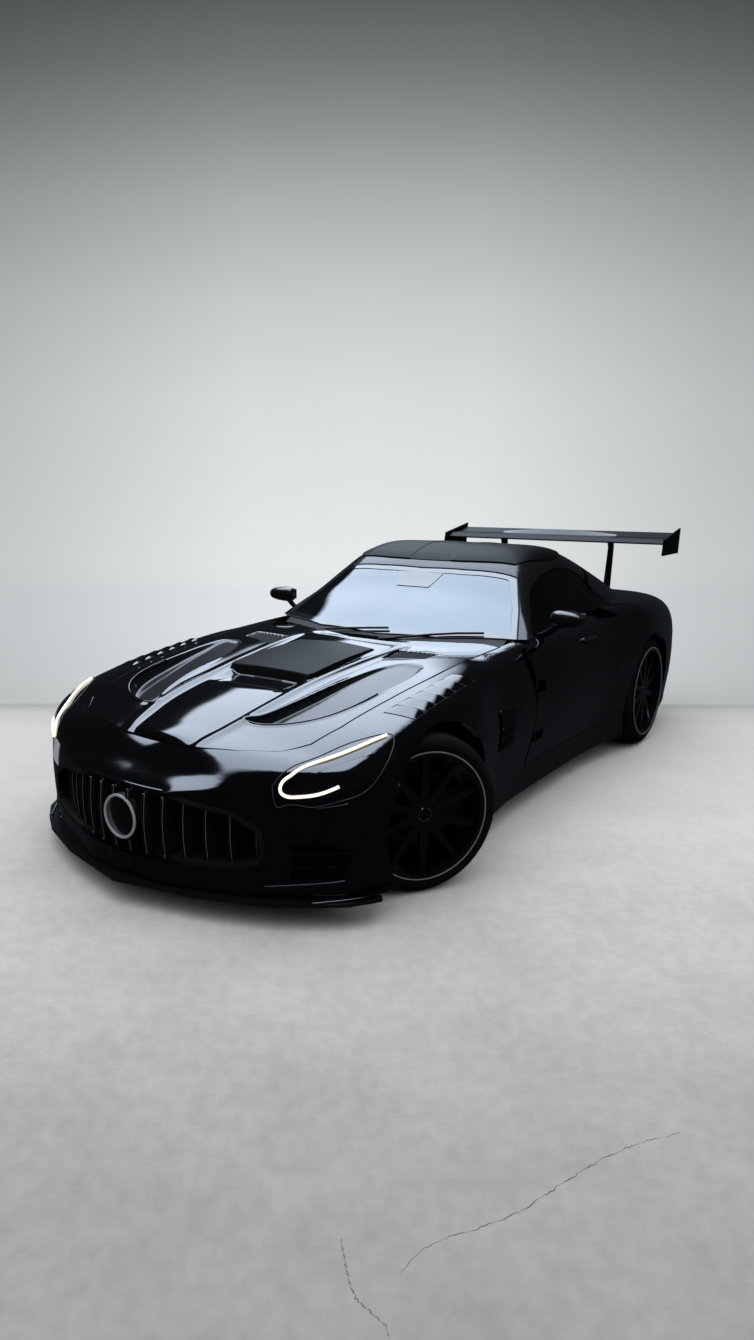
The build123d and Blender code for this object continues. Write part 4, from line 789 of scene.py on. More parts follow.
LAMP_HOOK = [(866, -262, 691), (827, -367, 668), (749, -500, 631), (690, -594, 590), (655, -645, 560),
             (648, -652, 540), (662, -645, 521), (700, -620, 512), (765, -573, 521), (829, -519, 551)]
LAMP_EDGE = [(625, -656, 549), (645, -620, 591), (694, -531, 626), (757, -405, 664), (830, -287, 690),
             (876, -239, 691), (914, -291, 656), (921, -365, 594), (899, -443, 529), (841, -521, 498),
             (743, -595, 475), (666, -646, 476), (634, -661, 503)]
LAMP_UNITS = [(734, -556, 553, 20), (786, -488, 583, 23), (838, -408, 618, 21)]   # centre and radius
LAMP_BREAK = 585           # above this the light guide lies on the top of the wing
GUIDE_R = 6.0


def lamp_details(side_name, side):
    """Lit hook, rubber seal, and three lamp units with their reflectors, in grey for a painted glint."""
    shells = ["headlamps", "front_bumper", "front_fender_" + side_name]
    hook = curve_through(LAMP_HOOK, 90)
    hook[:, 2] = np.where(hook[:, 2] > LAMP_BREAK, heights(hook[:, 0], hook[:, 1]) + GUIDE_R, hook[:, 2])
    path = hook * [side, 1, 1]
    path = np.where(path[:, 2:] > LAMP_BREAK, path, laid_on(path, shells, GUIDE_R))
    for _ in range(4):
        path[1:-1] = (path[:-2] + 2 * path[1:-1] + path[2:]) / 4
    tube("lamp_light_guide_" + side_name, path, GUIDE_R, LAMP_LIGHT, "body")
    edge = curve_through(LAMP_EDGE + LAMP_EDGE[:1], 140)[:-1] * [side, 1, 1]
    tube("lamp_seal_" + side_name, laid_on(edge, shells, 0.6), 2.2, LAMP_SEAL, "body", closed=True, sides=8)
    for n, (x, y, z, r) in enumerate(LAMP_UNITS):
        seat, above = (laid_on([(side * x, y, z)], shells, lift)[0] for lift in (3.0, 13.0))
        # grey domes on the lens: painted glints of the lamp units
        for k, (grow, made) in enumerate(((1.0, PROJECTOR_PAINTED_GLINT), (0.62, GRILLE_BLACK))):
            lathed("lamp_projector_%s_%d_%d" % (side_name, n, k),
                   [(0, r * grow), (1.6 + k, r * grow - 2.5), (1.6 + k, 0)], metres(seat), above - seat, made,
                   "body", count=32, closed=False)
        # grey bars: painted glints of the reflectors
        ends = laid_on([(side * (x + 14), y + 4, z + 22), (side * (x + 40), y + 38, z + 36)], shells, 1.0)
        tube("lamp_reflector_%s_%d" % (side_name, n), np.linspace(*ends, 6), 4.5, PROJECTOR_PAINTED_GLINT, "body", sides=8)


def intake_fill(side_name, side):
    """Dark mesh deep in the intake and two painted fins across it."""
    panel = flank_patch(INTAKE, 16, 20)
    thick_patch("intake_mesh_" + side_name, on_side(panel, side), 4, MESH_AND_PAINTED_SHADE, "body", lift=-20)
    for n, z in enumerate(INTAKE_FINS):
        fin = flank_patch([(-640, z), (-440, z + FIN_RISE), (-440, z + FIN_RISE + FIN_THICK),
                           (-640, z + FIN_THICK)], 4, 20)
        thick_patch("intake_fin_%s_%d" % (side_name, n), on_side(fin, side), 22, PAINT, "body", lift=-2)


def bumper_lines(side_name, side):
    """Bright beads: the bumper's lower lip, the splitter's turned-up end and a crease under the lamp."""
    shells = ["front_bumper", "front_fender_" + side_name]
    lip = curve_through([(600, -690, 156), (700, -640, 165), (780, -580, 172), (860, -510, 181)], 40)
    tube("bumper_lip_" + side_name, laid_on(lip * [side, 1, 1], shells, 1.0), 4.0, PAINT, "body")
    turned = curve_through([(770, -618, 110), (844, -541, 112), (915, -455, 116), (962, -330, 122)], 30)
    tube("splitter_bead_" + side_name, turned * [side, 1, 1], 7.0, PAINT, "body", sides=12, flat=0.7)
    crease = curve_through([(768, -580, 470), (815, -545, 476), (862, -503, 486)], 24)
    tube("bumper_crease_" + side_name, laid_on(crease * [side, 1, 1], shells, 0.0), 3.0, PAINT, "body")


def front_plate():
    """Blank plate carried low on the right-hand corner of the nose."""
    v, u = spread(6, 16, down=(-1, 1))
    x, y, z = FRONT_PLATE_AT
    plate = placed(x + 70 * u, y - 40 * u, z + 52 * v)
    seat = laid_on(plate.reshape(-1, 3), ["front_bumper"], 2.5).reshape(plate.shape)
    thick_patch("front_plate_blank", seat, 1.5, PLATE, "body")


# ------------------------------------------------------------------ wheels and tyres
WHEELS = {j["child"]: j for j in frame["record"]["behaviour"]["joints"] if j["name"].startswith("spin_")}
TYRES = {"front": (142.5, 334, 259), "rear": (167.5, 346, 271)}   # half width, radius, radius of the rim
GROOVES = (-0.42, -0.14, 0.14, 0.42)    # places of the grooves across the tread, as shares of half its width
GROOVE_DEEP, BLOCK_DEEP = 6.5, 4.5
BLOCKS = 72                             # shoulder blocks round the tread
TYRE_CREASE = math.radians(42)
WHEEL_BOLTS, BOLT_CIRCLE = 5, 0.056     # how many, and how far from the axle in metres
CALIPER_SWEEP = 84         # degrees


def tyre_profile(half, r, rim_r):
    """(along, radius) from bead to bead with a bulged wall and a rounded shoulder."""
    wall = [(half - 13, rim_r + 1), (half - 5, rim_r + 8), (half - 2.5, rim_r + 16),
            (half - 0.5, rim_r + 24), (half, rim_r + 34), (half - 1, r - 44), (half - 4, r - 32),
            (half - 10, r - 21), (half - 18, r - 12), (half - 28, r - 6), (half - 40, r - 3)]
    tread = [(w, r - 3 * (w / half) ** 2) for w in np.linspace(half - 44, -half + 44, 45)]
    return np.array(wall + tread + [(-w, q) for w, q in reversed(wall)])


def tyre_piece(node_name, joint, half, r, rim_r):
    """A tyre with four grooves, slanted shoulder blocks and two raised rings on its wall."""
    count = 288
    prof = tyre_profile(half, r, rim_r)
    centre = np.array(joint["pos_m"])
    out = np.array(joint["axis"], float) * (1 if centre[0] > 0 else -1)
    out /= np.linalg.norm(out)
    turn = np.linspace(0, math.tau, count, endpoint=False)
    w, q = prof[:, 0][None], np.repeat(prof[:, 1][None], count, 0)
    grooves = sum(np.exp(-((w - g * half) / 5.0) ** 4) for g in GROOVES)
    lean = turn[:, None] * BLOCKS / math.tau + np.abs(w) / 46.0
    blocks = (np.abs(lean % 1 - 0.5) < 0.12) * (np.abs(w) > 0.45 * half)
    tread = np.clip((half - 30 - np.abs(w)) / 6, 0, 1)
    depth = np.clip(grooves * GROOVE_DEEP + blocks * BLOCK_DEEP, 0, GROOVE_DEEP) * tread
    rings = 1.2 * np.exp(-((q - (r - 40)) / 2.5) ** 2) - 1.0 * np.exp(-((q - (rim_r + 30)) / 2.0) ** 2)
    along = w + np.sign(w) * rings * (np.abs(w) > half - 12)
    verts = (centre + out * (along / MM)[..., None]
             + spokes(out, turn)[:, None] * ((q - depth) / MM)[..., None])
    piece = mesh_piece(node_name + "_rubber", verts, quads(count, len(prof), True), RUBBER, joint["child"])
    piece.data.set_sharp_from_angle(angle=TYRE_CREASE)
    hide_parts(node_name)


def wheel_dressing(child, joint):
    """Tyre, bright rim edge, cap and bolts that turn; disc that turns; caliper that stays on the hub."""
    corner = child.replace("wheel_", "")
    end, side_name = corner.split("_")
    half, r, rim_r = TYRES[end]
    tyre_piece("tyre_" + corner, joint, half, r, rim_r)
    centre = joint["pos_m"]
    out = Vector(joint["axis"]) * (1 if centre[0] > 0 else -1)
    lathed("rim_edge_" + corner, [(half - 4, rim_r + 10), (half + 2.5, rim_r + 11), (half + 3.5, rim_r + 8),
                                  (half + 2.5, rim_r + 5), (half - 4, rim_r + 6)],
           centre, out, BRIGHT_EDGE, child, 144)
    face = half - 26
    lathed("centre_cap_" + corner, [(face, 0), (face + 4, 20), (face + 3.4, 31), (face - 2, 34),
                                    (face - 4, 0)], centre, out, GRILLE_BLACK, child, 48)
    lathed("cap_ring_" + corner, [(face + 2, 26), (face + 5.4, 28.5), (face + 2, 31)],
           centre, out, CHROME, child, 48)
    lathed("brake_disc_" + corner, [(-16, 92), (-16, 201), (20, 201), (20, 92)], centre, out, METAL, child)
    hub = "front_hub_" + side_name if end == "front" else "body"
    level = 90 if (side_name == "left") == (end == "front") else 270
    lathed("caliper_" + corner, [(-34, 118), (-34, 206), (-20, 214), (24, 214), (36, 204), (36, 128),
                                 (24, 120)], centre, out, CALIPER, hub, 26,
           start=level - CALIPER_SWEEP / 2, sweep=CALIPER_SWEEP)
    turns = math.tau * np.arange(WHEEL_BOLTS) / WHEEL_BOLTS
    seats = np.array(centre) + spokes(np.array(out), turns) * BOLT_CIRCLE
    bolt = [(face - 8, 0), (face - 1, 0), (face - 1, 8), (face - 4, 10), (face - 8, 10)]
    joined("wheel_bolts_" + corner, [lathed("bolt", bolt, seat, out, STEEL, child, 12) for seat in seats])


# ------------------------------------------------------------------ doors: mirrors, handles, side vents
POD_AT = np.array([942.0, 1332.0, 957.0])
POD_HALF = np.array([96.0, 58.0, 50.0])
POD_BACK = 0.62            # the pod is flatter behind its middle
HANDLE_Z = 792
SIDE_VENT = [(560, 440), (868, 446), (868, 600), (560, 628)]


def rounded(value, power):
    """A sine or cosine raised to a power with its sign kept, which squares a round form up."""
    return np.sign(value) * np.abs(value) ** power


def mirror_shell(side_name, side):
    """A wide rounded pod on a curved foot, its glass at the back."""
    rides = "door_" + side_name
    v, u = spread(34, 48, (-math.pi / 2, math.pi / 2), (-math.pi, math.pi))
    belt = rounded(np.cos(v), 0.72)
    x, y, z = belt * rounded(np.cos(u), 0.7), belt * rounded(np.sin(u), 0.8), rounded(np.sin(v), 0.8)
    pod = placed(x, np.where(y > 0, y * POD_BACK, y), z * (0.86 - 0.14 * x)) * POD_HALF + POD_AT
    shell = mesh_piece("mirror_pod_" + side_name, metres(pod * [side, 1, 1]), quads(34, 48), GLOSS_CARBON,
                       rides)
    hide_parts("mirror_" + side_name)
    foot = curve_through([(786, 1318, 852), (838, 1322, 878), (884, 1326, 912), (918, 1330, 936)], 16)
    tube("mirror_foot_" + side_name, foot * [side, 1, 1], 17, GRILLE_BLACK, rides, sides=14, flat=0.6)
    v, u = spread(8, 12, down=(-1, 1))
    glass = placed(POD_AT[0] + 74 * u, POD_AT[1] + 35, POD_AT[2] + 30 * v)
    thick_patch("mirror_glass_" + side_name, on_side(glass, side), 3, CHROME, rides)


def flank_path(y, z, side, proud=0.0):
    """Points along the side at stations y and heights z, standing proud by so much."""
    y, z, proud = np.broadcast_arrays(y, z, proud)
    return np.array([((flank(a, b) + c) * side, a, b) for a, b, c in zip(y, z, proud)])


def flank_details(side_name, side):
    """Vent behind the front wheel, its opening a dark sheet of painted shade; flush door handle, and its
    recess shown by a dark sheet of painted shade.
    """
    vent = flank_patch(SIDE_VENT, 20, 40)
    # a dark sheet laid on the side: painted shade for the vent's opening
    thick_patch("side_vent_bed_" + side_name, on_side(vent, side), 2, MESH_AND_PAINTED_SHADE, "body", lift=0.8)
    rim_y, rim_z = straight_runs(SIDE_VENT + SIDE_VENT[:1], 121)[:-1].T
    rim = flank_path(rim_y, rim_z, side)
    tube("side_vent_rim_" + side_name, rim, 3.5, PAINT, "body", closed=True, sides=8)
    for n, z in enumerate((492, 542)):
        path = flank_path(np.linspace(564, 864, 24), z, side) + [0, 0, 3]
        tube("side_vent_blade_%s_%d" % (side_name, n), path, 5.0, GRILLE_BLACK, "body", flat=0.6)
    bow = 1 + 15 * np.sin(np.linspace(0, math.pi, 18)) ** 0.5
    tube("door_handle_" + side_name, flank_path(np.linspace(1690, 1860, 18), HANDLE_Z, side, bow), 9.0,
         CHROME_BLACK, "door_" + side_name, sides=14, flat=1.25)
    low, high = HANDLE_Z - 20, HANDLE_Z + 20
    # a dark sheet laid on the door: painted shade for the handle's recess
    recess = flank_patch([(1700, low), (1850, low), (1850, high), (1700, high)], 8, 18)
    thick_patch("handle_recess_" + side_name, on_side(recess, side), 1.5, MESH_AND_PAINTED_SHADE, "door_" + side_name,
                lift=0.6)


# ------------------------------------------------------------------ roof and windscreen
roof_reach = rail([(1552, 470), (1600, 520), (1700, 560), (1900, 590), (2050, 575), (2185, 500)])
ROOF_FRONT, ROOF_REAR = 1532, 2185
ROOF_BOW = 55              # the front edge sweeps back by this much at its ends
ROOF_CHANNEL = 132.0       # half the width of the shallow channel down the roof
CHANNEL_DEEP = 3.5


def roof_cover():
    """Carbon roof skin with a shallow channel down its middle, a bright bead on each of its edges."""
    v, u = spread(90, 150)
    front = ROOF_FRONT + ROOF_BOW * np.abs(u) ** 3
    y = front + (ROOF_REAR - front) * v
    x = u * at_each(roof_reach, y)
    sunk = CHANNEL_DEEP * (smooth_step(ROOF_CHANNEL, ROOF_CHANNEL + 14, np.abs(x)) - 1)
    thick_patch("roof_skin", placed(x, y, heights(x, y, *CABIN) + sunk), 4, ROOF_CARBON, "body", lift=6.5)
    for side_name, side in SIDES:
        y = np.linspace(1536, 2180, 60)
        x = np.full(60, side * (ROOF_CHANNEL + 8.0))
        bead = placed(x, y, heights(x, y, *CABIN) + 6.2)
        tube("roof_channel_edge_" + side_name, bead, 1.6, BRIGHT_EDGE, "body", sides=8)


BAND_OUTER = [(0, 966), (400, 1004), (756, 1128), (676, 1312), (572, 1504), (280, 1471), (0, 1463)]
BAND_INNER = [(0, 1006), (390, 1042), (706, 1150), (640, 1308), (534, 1468), (270, 1438), (0, 1431)]


def screen_band():
    """Black ceramic band printed round the edge of the windscreen, its seal, and the sensor cover."""
    outer, inner = (straight_runs(mirrored_ring(half), 241)[:-1] for half in (BAND_OUTER, BAND_INNER))
    ring = np.stack([outer + (inner - outer) * t for t in np.linspace(0, 1, 5)])
    x, y = ring[..., 0], ring[..., 1]
    band = metres(placed(x, y, heights(x, y, *CABIN) + 0.8))
    mesh_piece("screen_band", band, quads(5, len(outer), False, True), FRIT, "body")
    x, y = outer.T
    tube("screen_seal", placed(x, y, heights(x, y, *CABIN) + 1.0), 4.5, PLASTIC, "body", closed=True, sides=8)
    v, u = spread(12, 20)
    x, y = u * (150 - 45 * (1 - v)), 1340 + 92 * v
    thick_patch("sensor_cover", placed(x, y, heights(x, y, *CABIN)), 0.5, FRIT, "body", lift=0.9)


# ------------------------------------------------------------------ tail: wing flap, plate, lamps, exhausts
FLAP_HALF, FLAP_FRONT, FLAP_CHORD = 445, 3398, 58
FLAP_Z, FLAP_RISE, FLAP_ARCH = 1257, 25, 26   # it rises rearwards, and most at its middle
PLATE_HALF, PLATE_Z = (258, 55), 548
TAIL_Y = 3700              # pieces are set out here and then laid on the bumper
TAIL_RING = [(574, 706), (862, 711), (894, 776), (632, 766)]
EXHAUST_X, EXHAUST_Z = (268, 362), 300
EXHAUST_PANEL_X, EXHAUST_PANEL_HALF = 320, (125, 58)


def wing_flap():
    """Second, higher blade along the middle of the wing."""
    v, u = spread(12, 60)
    rise = FLAP_RISE + FLAP_ARCH * (1 - u * u)
    flap = placed(FLAP_HALF * u, FLAP_FRONT + FLAP_CHORD * v, FLAP_Z + rise * v)
    thick_patch("wing_flap", flap, 5, CARBON, "tailgate")


def tail_dressing():
    """Blank plate in its recess, lit tail lamp outlines, and two exhaust tips in a dark panel each side; the
    tips' pale grey is a painted reflection and their bores' dark a painted shade.
    """
    v, u = spread(6, 20, down=(-1, 1))
    plate = placed(-PLATE_HALF[0] * u, TAIL_Y, PLATE_Z + PLATE_HALF[1] * v)
    seat = laid_on(plate.reshape(-1, 3), ["rear_bumper", "tailgate"], 1.0)
    plate[..., 1] = seat[:, 1].max() + 1.5
    thick_patch("plate_blank", plate, 2.0, PLATE, "body", smooth=False)
    for side_name, side in SIDES:
        ring = straight_runs(TAIL_RING + TAIL_RING[:1], 121)[:-1]
        path = laid_on(placed(ring[:, 0] * side, TAIL_Y - 10, ring[:, 1]), ["tail_lamps"], 1.0)
        tube("tail_lamp_guide_" + side_name, path, 4.0, TAIL_LIGHT, "body", closed=True, sides=8)
        v, u = spread(10, 24, down=(-1, 1))
        high = EXHAUST_PANEL_HALF[1] - 14 * u ** 4
        panel = placed(side * EXHAUST_PANEL_X - EXHAUST_PANEL_HALF[0] * u, TAIL_Y, EXHAUST_Z + high * v)
        panel = laid_on(panel.reshape(-1, 3), ["rear_bumper"], 1.0).reshape(panel.shape)
        thick_patch("exhaust_panel_" + side_name, panel, 1.5, MESH_AND_PAINTED_SHADE, "body")
        face = panel[..., 1].max() + 5.0
        for n, x in enumerate(EXHAUST_X):
            mouth = metres([side * x, face, EXHAUST_Z])
            # the tips' pale grey is a painted reflection
            lathed("exhaust_tip_%s_%d" % (side_name, n), [(-40, 36), (0, 39), (2, 36), (0, 33), (-40, 32)],
                   mouth, (0, 1, 0), SILVER_PAINTED_SHINE, "body", 48)
            # a dark disc just inside each tip: painted shade for the bore
            lathed("exhaust_bore_%s_%d" % (side_name, n), [(-8, 0), (-8, 33)],
                   mouth, (0, 1, 0), MESH_AND_PAINTED_SHADE, "body", 32, closed=False)


bonnet_skin()
roof_cover()
screen_band()
wing_flap()
tail_dressing()
front_plate()
grille_dressing()
for side_name, side in SIDES:
    outlet_lip(side_name, side)
    bumper_lines(side_name, side)
    flank_details(side_name, side)
    louvres(side_name, side)
    lamp_details(side_name, side)
    intake_fill(side_name, side)
    mirror_shell(side_name, side)
for child, joint in WHEELS.items():
    wheel_dressing(child, joint)

# ------------------------------------------------------------------ stage: camera, floor, backdrop, lights
CAMERA_AZ, CAMERA_EL, CAMERA_ROLL = math.radians(36.116), math.radians(12.527), math.radians(0.07)
CAMERA_AT = Vector((2.6225, -4.4130, 1.6179))
FOCAL_MM, SENSOR_MM = 23.76, 36.0
SHIFT_X, SHIFT_Y = 0.03184, 0.01001
AHEAD = Vector((-math.sin(CAMERA_AZ), math.cos(CAMERA_AZ), 0.0))   # level direction of view
ASIDE = Vector((math.cos(CAMERA_AZ), math.sin(CAMERA_AZ), 0.0))    # level, to the right of it
STAGE = (Matrix.Translation((CAMERA_AT.x, CAMERA_AT.y, 0.0))
         @ Matrix((ASIDE, AHEAD, (0, 0, 1))).transposed().to_4x4())
WALL_AHEAD, WALL_HIGH = 15.0, 16.0
FLOOR_HALF, FLOOR_BACK, FLOOR_AHEAD = 26, -14, 16
WALL_HALF = 30
FLOOR_RAMP, WALL_LOW, WALL_TOP, SIDE_RAMP = 10.0, -1.0, 8.9, 8.0    # metres that the shading runs over
BEARING_RAMP = 0.54        # tangent of the bearing that the far floor's shading runs over


def set_camera():
    """Eye-level camera at the nose's left corner, level but for a trace of roll."""
    back = AHEAD * -math.cos(CAMERA_EL) + Vector((0, 0, math.sin(CAMERA_EL)))
    level = (-back).cross(Vector((0, 0, 1))).normalized()
    over = level.cross(-back)
    right = math.cos(CAMERA_ROLL) * level + math.sin(CAMERA_ROLL) * over
    up = -math.sin(CAMERA_ROLL) * level + math.cos(CAMERA_ROLL) * over
    lens = bpy.data.cameras.new("camera")
    lens.lens = FOCAL_MM
    lens.sensor_width = SENSOR_MM
    lens.shift_x = SHIFT_X
    lens.shift_y = SHIFT_Y
    camera = bpy.data.objects.new("camera", lens)
    camera.matrix_world = Matrix.Translation(CAMERA_AT) @ Matrix((right, up, back)).transposed().to_4x4()
    scene.collection.objects.link(camera)
    scene.camera = camera


def staged(name, corners, faces, made, world, unseen_by):
    """A piece of the stage; unseen_by lists the kinds of ray that pass through it."""
    mesh = bpy.data.meshes.new(name)
    mesh.from_pydata(corners, [], faces)
    mesh.materials.append(made)
    laid = bpy.data.objects.new(name, mesh)
    laid.matrix_world = world
    scene.collection.objects.link(laid)
    for kind in unseen_by:
        setattr(laid, "visible_" + kind, False)


def shade_along(made, measure, low, high, greys):
    """A grey that follows a measure from low to high; greys are (value of the measure, hex)."""
    share = node(made, "MapRange", {"Value": measure, "From Min": low, "From Max": high})
    stops = [((value - low) / (high - low), grey) for value, grey in greys]
    return node(made, "ValToRGB", {"Fac": (share, "Result")}, stops=stops), "Color"


def away_from(made, measure, middle):
    """How far a measure is from its middle value, on either side."""
    off = node(made, "Math", {0: measure, 1: middle}, operation="SUBTRACT")
    return node(made, "Math", {0: (off, 0), 1: 0.0}, operation="ABSOLUTE"), 0


def concrete_with_painted_light():
    """Steel-trowelled concrete: cloudy greys metres across with fine mottling. Its light is painted into its
    greys: paler towards the wall, a narrow painted shade where it meets the wall, and beyond that the wall's
    painted glow, darker towards the sides.
    """
    made = material("trowelled_concrete", "#b0b0b0", Roughness=0.5, Specular_IOR_Level=0.0)
    where = node(made, "TexCoord")
    axes = node(made, "SeparateXYZ", {"Vector": (where, "Object")})
    # painted light on the floor: brightest some 4 m out, a narrow painted shade at 6.5 m where it meets the
    # wall, and from 6.62 m the wall's painted glow
    grey = shade_along(made, (axes, "Y"), 0.0, FLOOR_RAMP, [
        (1.0, "#a6a5a5"), (1.44, "#afaeae"), (1.75, "#b5b4b4"), (2.09, "#bdbcbb"), (2.57, "#cccbc9"),
        (3.28, "#dad9d6"), (4.02, "#e3e2de"), (4.95, "#dddcda"), (5.82, "#dadad9"), (6.3, "#cacaca"),
        (6.5, "#b2b5b5"), (6.62, "#dfe2e2"), (7.6, "#e2e6e6"), (10.0, "#e5e9e9")])
    near = node(made, "MapRange", {"Value": (axes, "Y"), "From Min": 3.2, "From Max": 6.5, "To Min": 0.85,
                                   "To Max": 0.0})
    for cloud_mm, detail, dark in ((380.0, 6.0, "#f0f0f0"), (48.0, 8.0, "#f1f1f1")):
        noise = node(made, "TexNoise", {"Vector": (where, "Object"), "Scale": MM / cloud_mm, "Detail": detail,
                                        "Roughness": 0.62})
        mottle = shade_along(made, (noise, "Fac"), 0.0, 1.0, [(0.35, dark), (0.62, "#ffffff")])
        mixed = node(made, "Mix", {0: (near, "Result"), 6: grey, 7: mottle}, data_type="RGBA",
                     blend_type="MULTIPLY")
        grey = mixed, 2
    # painted shade: the far floor darkens away from the middle, as the wall's glow does
    bearing = node(made, "Math", {0: (axes, "X"), 1: (axes, "Y")}, operation="DIVIDE")
    side = shade_along(made, away_from(made, (bearing, 0), 0.031), 0.0, BEARING_RAMP, [
        (0.0, "#ffffff"), (0.127, "#fdfdfd"), (0.38, "#dedede"), (0.53, "#d0d0d0")])
    far = node(made, "MapRange", {"Value": (axes, "Y"), "From Min": 6.45, "From Max": 6.65})
    node(made, "Mix", {0: (far, "Result"), 6: grey, 7: side}, feeds=(2, shader_of(made), "Base Color"),
         data_type="RGBA", blend_type="MULTIPLY")
    return made


def backdrop_with_painted_light():
    """Matt studio wall, lit along its foot; that light is painted in as a glow: pale low down, dark at the
    top and a little at the sides.
    """
    made = material("matt_backdrop_paint", "#000000", Roughness=1.0, Specular_IOR_Level=0.0,
                    Emission_Strength=1.0)
    where = node(made, "TexCoord")
    axes = node(made, "SeparateXYZ", {"Vector": (where, "Object")})
    # painted light: the glow is palest low on the wall and darkens towards the top
    painted_fall_up_wall = shade_along(made, (axes, "Z"), WALL_LOW, WALL_TOP, [
        (-0.94, "#e2e6e7"), (0.42, "#e6eaeb"), (1.4, "#e1e5e6"), (3.0, "#d8dddd"), (4.5, "#c7cdcd"),
        (5.96, "#abb0b0"), (7.07, "#8b8f90"), (7.87, "#717676"), (8.7, "#5b6061")])
    # painted shade: the glow dims towards the sides
    side = shade_along(made, away_from(made, (axes, "X"), 0.47), 0.0, SIDE_RAMP, [
        (0.0, "#ffffff"), (1.9, "#fdfdfd"), (5.7, "#dedede"), (7.9, "#d0d0d0")])
    node(made, "Mix", {0: 1.0, 6: painted_fall_up_wall, 7: side}, feeds=(2, shader_of(made), "Emission Color"),
         data_type="RGBA", blend_type="MULTIPLY")
    return made


CRACKS = ([(0.889, 1.966), (0.774, 1.931), (0.656, 1.873), (0.537, 1.792), (0.426, 1.712), (0.327, 1.667),
           (0.234, 1.635), (0.176, 1.596), (0.14, 1.546)],
          [(0.016, 1.635), (0.024, 1.578), (0.034, 1.522), (0.048, 1.487), (0.073, 1.461), (0.102, 1.432),
           (0.11, 1.401)])
CRACK_WANDER, CRACK_WIDE, CRACK_STEPS = 0.0035, 0.0016, 90


def hairline_cracks():
    """Dark wandering hairlines laid on the floor."""
    made = material("crack_in_concrete", "#6e6e6e", Roughness=0.9, Specular_IOR_Level=0.0)
    step = np.arange(CRACK_STEPS)
    for n, route in enumerate(CRACKS):
        path = straight_runs(route, CRACK_STEPS)
        path[:, 0] += CRACK_WANDER * np.sin(step * 2.3) * np.sin(step * 0.7 + n)
        path[:, 1] += CRACK_WANDER * np.sin(step * 1.7 + 1.0) * np.cos(step * 0.9)
        tapered = np.sin(np.linspace(0.15, 3.0, CRACK_STEPS)) ** 0.5
        wide = CRACK_WIDE * (0.6 + 0.4 * np.sin(step * 0.9)) * tapered
        ahead = np.gradient(path, axis=0)
        across = np.stack([-ahead[:, 1], ahead[:, 0]], 1) / np.linalg.norm(ahead, axis=1)[:, None]
        edges = np.concatenate([path + across * wide[:, None], path - across * wide[:, None]])
        corners = [(a, b, 0.0004) for a, b in edges]
        faces = [(i, i + 1, i + 1 + CRACK_STEPS, i + CRACK_STEPS) for i in range(CRACK_STEPS - 1)]
        staged("crack_%d" % n, corners, faces, made, STAGE, ["glossy"])


# The window that polished surfaces see: (unit normal of a limiting plane, how far along it, softness)
WINDOW = (((0.695, 0.26, 0.667), 0.0, 0.012), ((0.0, 1.0, 0.0), -0.28, 0.05),
          ((-0.803, -0.548, 0.234), 0.0, 0.05), ((0.0, 0.0, 1.0), 0.11, 0.02))


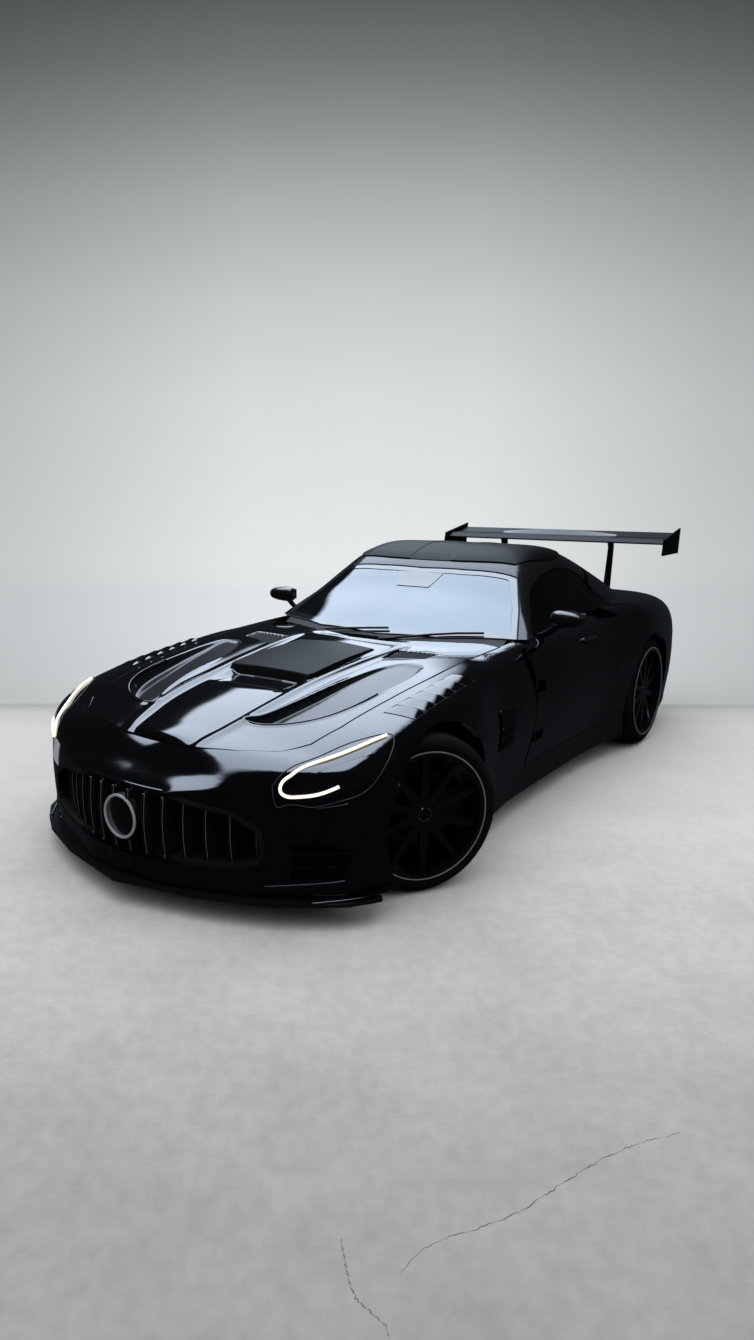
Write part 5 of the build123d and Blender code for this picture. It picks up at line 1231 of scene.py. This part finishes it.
def studio_sky():
    """White light from overhead; a polished surface sees one large bluish window and dark elsewhere."""
    world = bpy.data.worlds.new("studio")
    world.use_nodes = True
    where = node(world, "TexCoord")
    axes = node(world, "SeparateXYZ", {"Vector": (where, "Generated")})
    raised = node(world, "Math", {0: (axes, "Z"), 1: 0.0}, operation="MAXIMUM")
    squared = node(world, "Math", {0: (raised, 0), 1: (raised, 0)}, operation="MULTIPLY")
    plain = world.node_tree.nodes["Background"]
    plain.inputs["Color"].default_value = colour("#fbfdff")
    node(world, "Math", {0: (squared, 0), 1: 2.0}, feeds=(0, plain, "Strength"), operation="MULTIPLY")
    bright = node(world, "MapRange", {"Value": (axes, "Z"), "From Min": 0.15, "From Max": 0.9, "To Min": 1.5,
                                      "To Max": 4.4})
    window = bright, "Result"
    for normal, limit, soft in WINDOW:
        dot = node(world, "VectorMath", {0: (where, "Generated"), 1: normal}, operation="DOT_PRODUCT")
        edge = node(world, "MapRange", {"Value": (dot, "Value"), "From Min": limit - soft,
                                        "From Max": limit + soft}, interpolation_type="SMOOTHSTEP")
        within = node(world, "Math", {0: window, 1: (edge, "Result")}, operation="MULTIPLY")
        window = within, 0
    total = node(world, "Math", {0: window, 1: 0.02}, operation="ADD")
    mirrored = node(world, "Background", {"Color": colour("#dcebff"), "Strength": (total, 0)})
    level = node(world, "Background", {"Color": colour("#e6eaeb")})
    path = node(world, "LightPath")
    seen = node(world, "MixShader", {0: (path, "Is Camera Ray"), 1: (plain, 0), 2: (level, 0)})
    node(world, "MixShader", {0: (path, "Is Glossy Ray"), 1: (seen, 0), 2: (mirrored, 0)},
         feeds=(0, world.node_tree.nodes["World Output"], "Surface"))
    scene.world = world


def softbox(name, x_ends, y_ends, z_ends, strength):
    """A panel of light that only polished surfaces see, upright between two corners in metres."""
    made = material(name + "_diffuser", "#000000", Roughness=1.0, Specular_IOR_Level=0.0,
                    Emission_Color="#e8f1ff", Emission_Strength=strength)
    (x0, x1), (y0, y1), (low, high) = x_ends, y_ends, z_ends
    staged(name, [(x0, y0, low), (x1, y1, low), (x1, y1, high), (x0, y0, high)], [(0, 1, 2, 3)], made,
           Matrix.Identity(4), ["camera", "diffuse", "shadow", "transmission"])


set_camera()
staged("floor", [(-FLOOR_HALF, FLOOR_BACK, 0), (FLOOR_HALF, FLOOR_BACK, 0), (FLOOR_HALF, FLOOR_AHEAD, 0),
                 (-FLOOR_HALF, FLOOR_AHEAD, 0)], [(0, 1, 2, 3)], concrete_with_painted_light(), STAGE, ["glossy"])
staged("backdrop", [(-WALL_HALF, WALL_AHEAD, 0), (WALL_HALF, WALL_AHEAD, 0),
                    (WALL_HALF, WALL_AHEAD, WALL_HIGH), (-WALL_HALF, WALL_AHEAD, WALL_HIGH)],
       [(0, 1, 2, 3)], backdrop_with_painted_light(), STAGE, ["glossy", "diffuse", "shadow"])
hairline_cracks()
studio_sky()
softbox("rear_softbox", (-2.6, -0.1), (8.0, 8.0), (-1.2, -0.3), 0.5)
for side_name, side in SIDES:
    softbox("side_softbox_" + side_name, (side * 7.5, side * 7.5), (0.2, 2.8), (-0.6, 0.1), 0.4)

scene.view_settings.view_transform = "Standard"
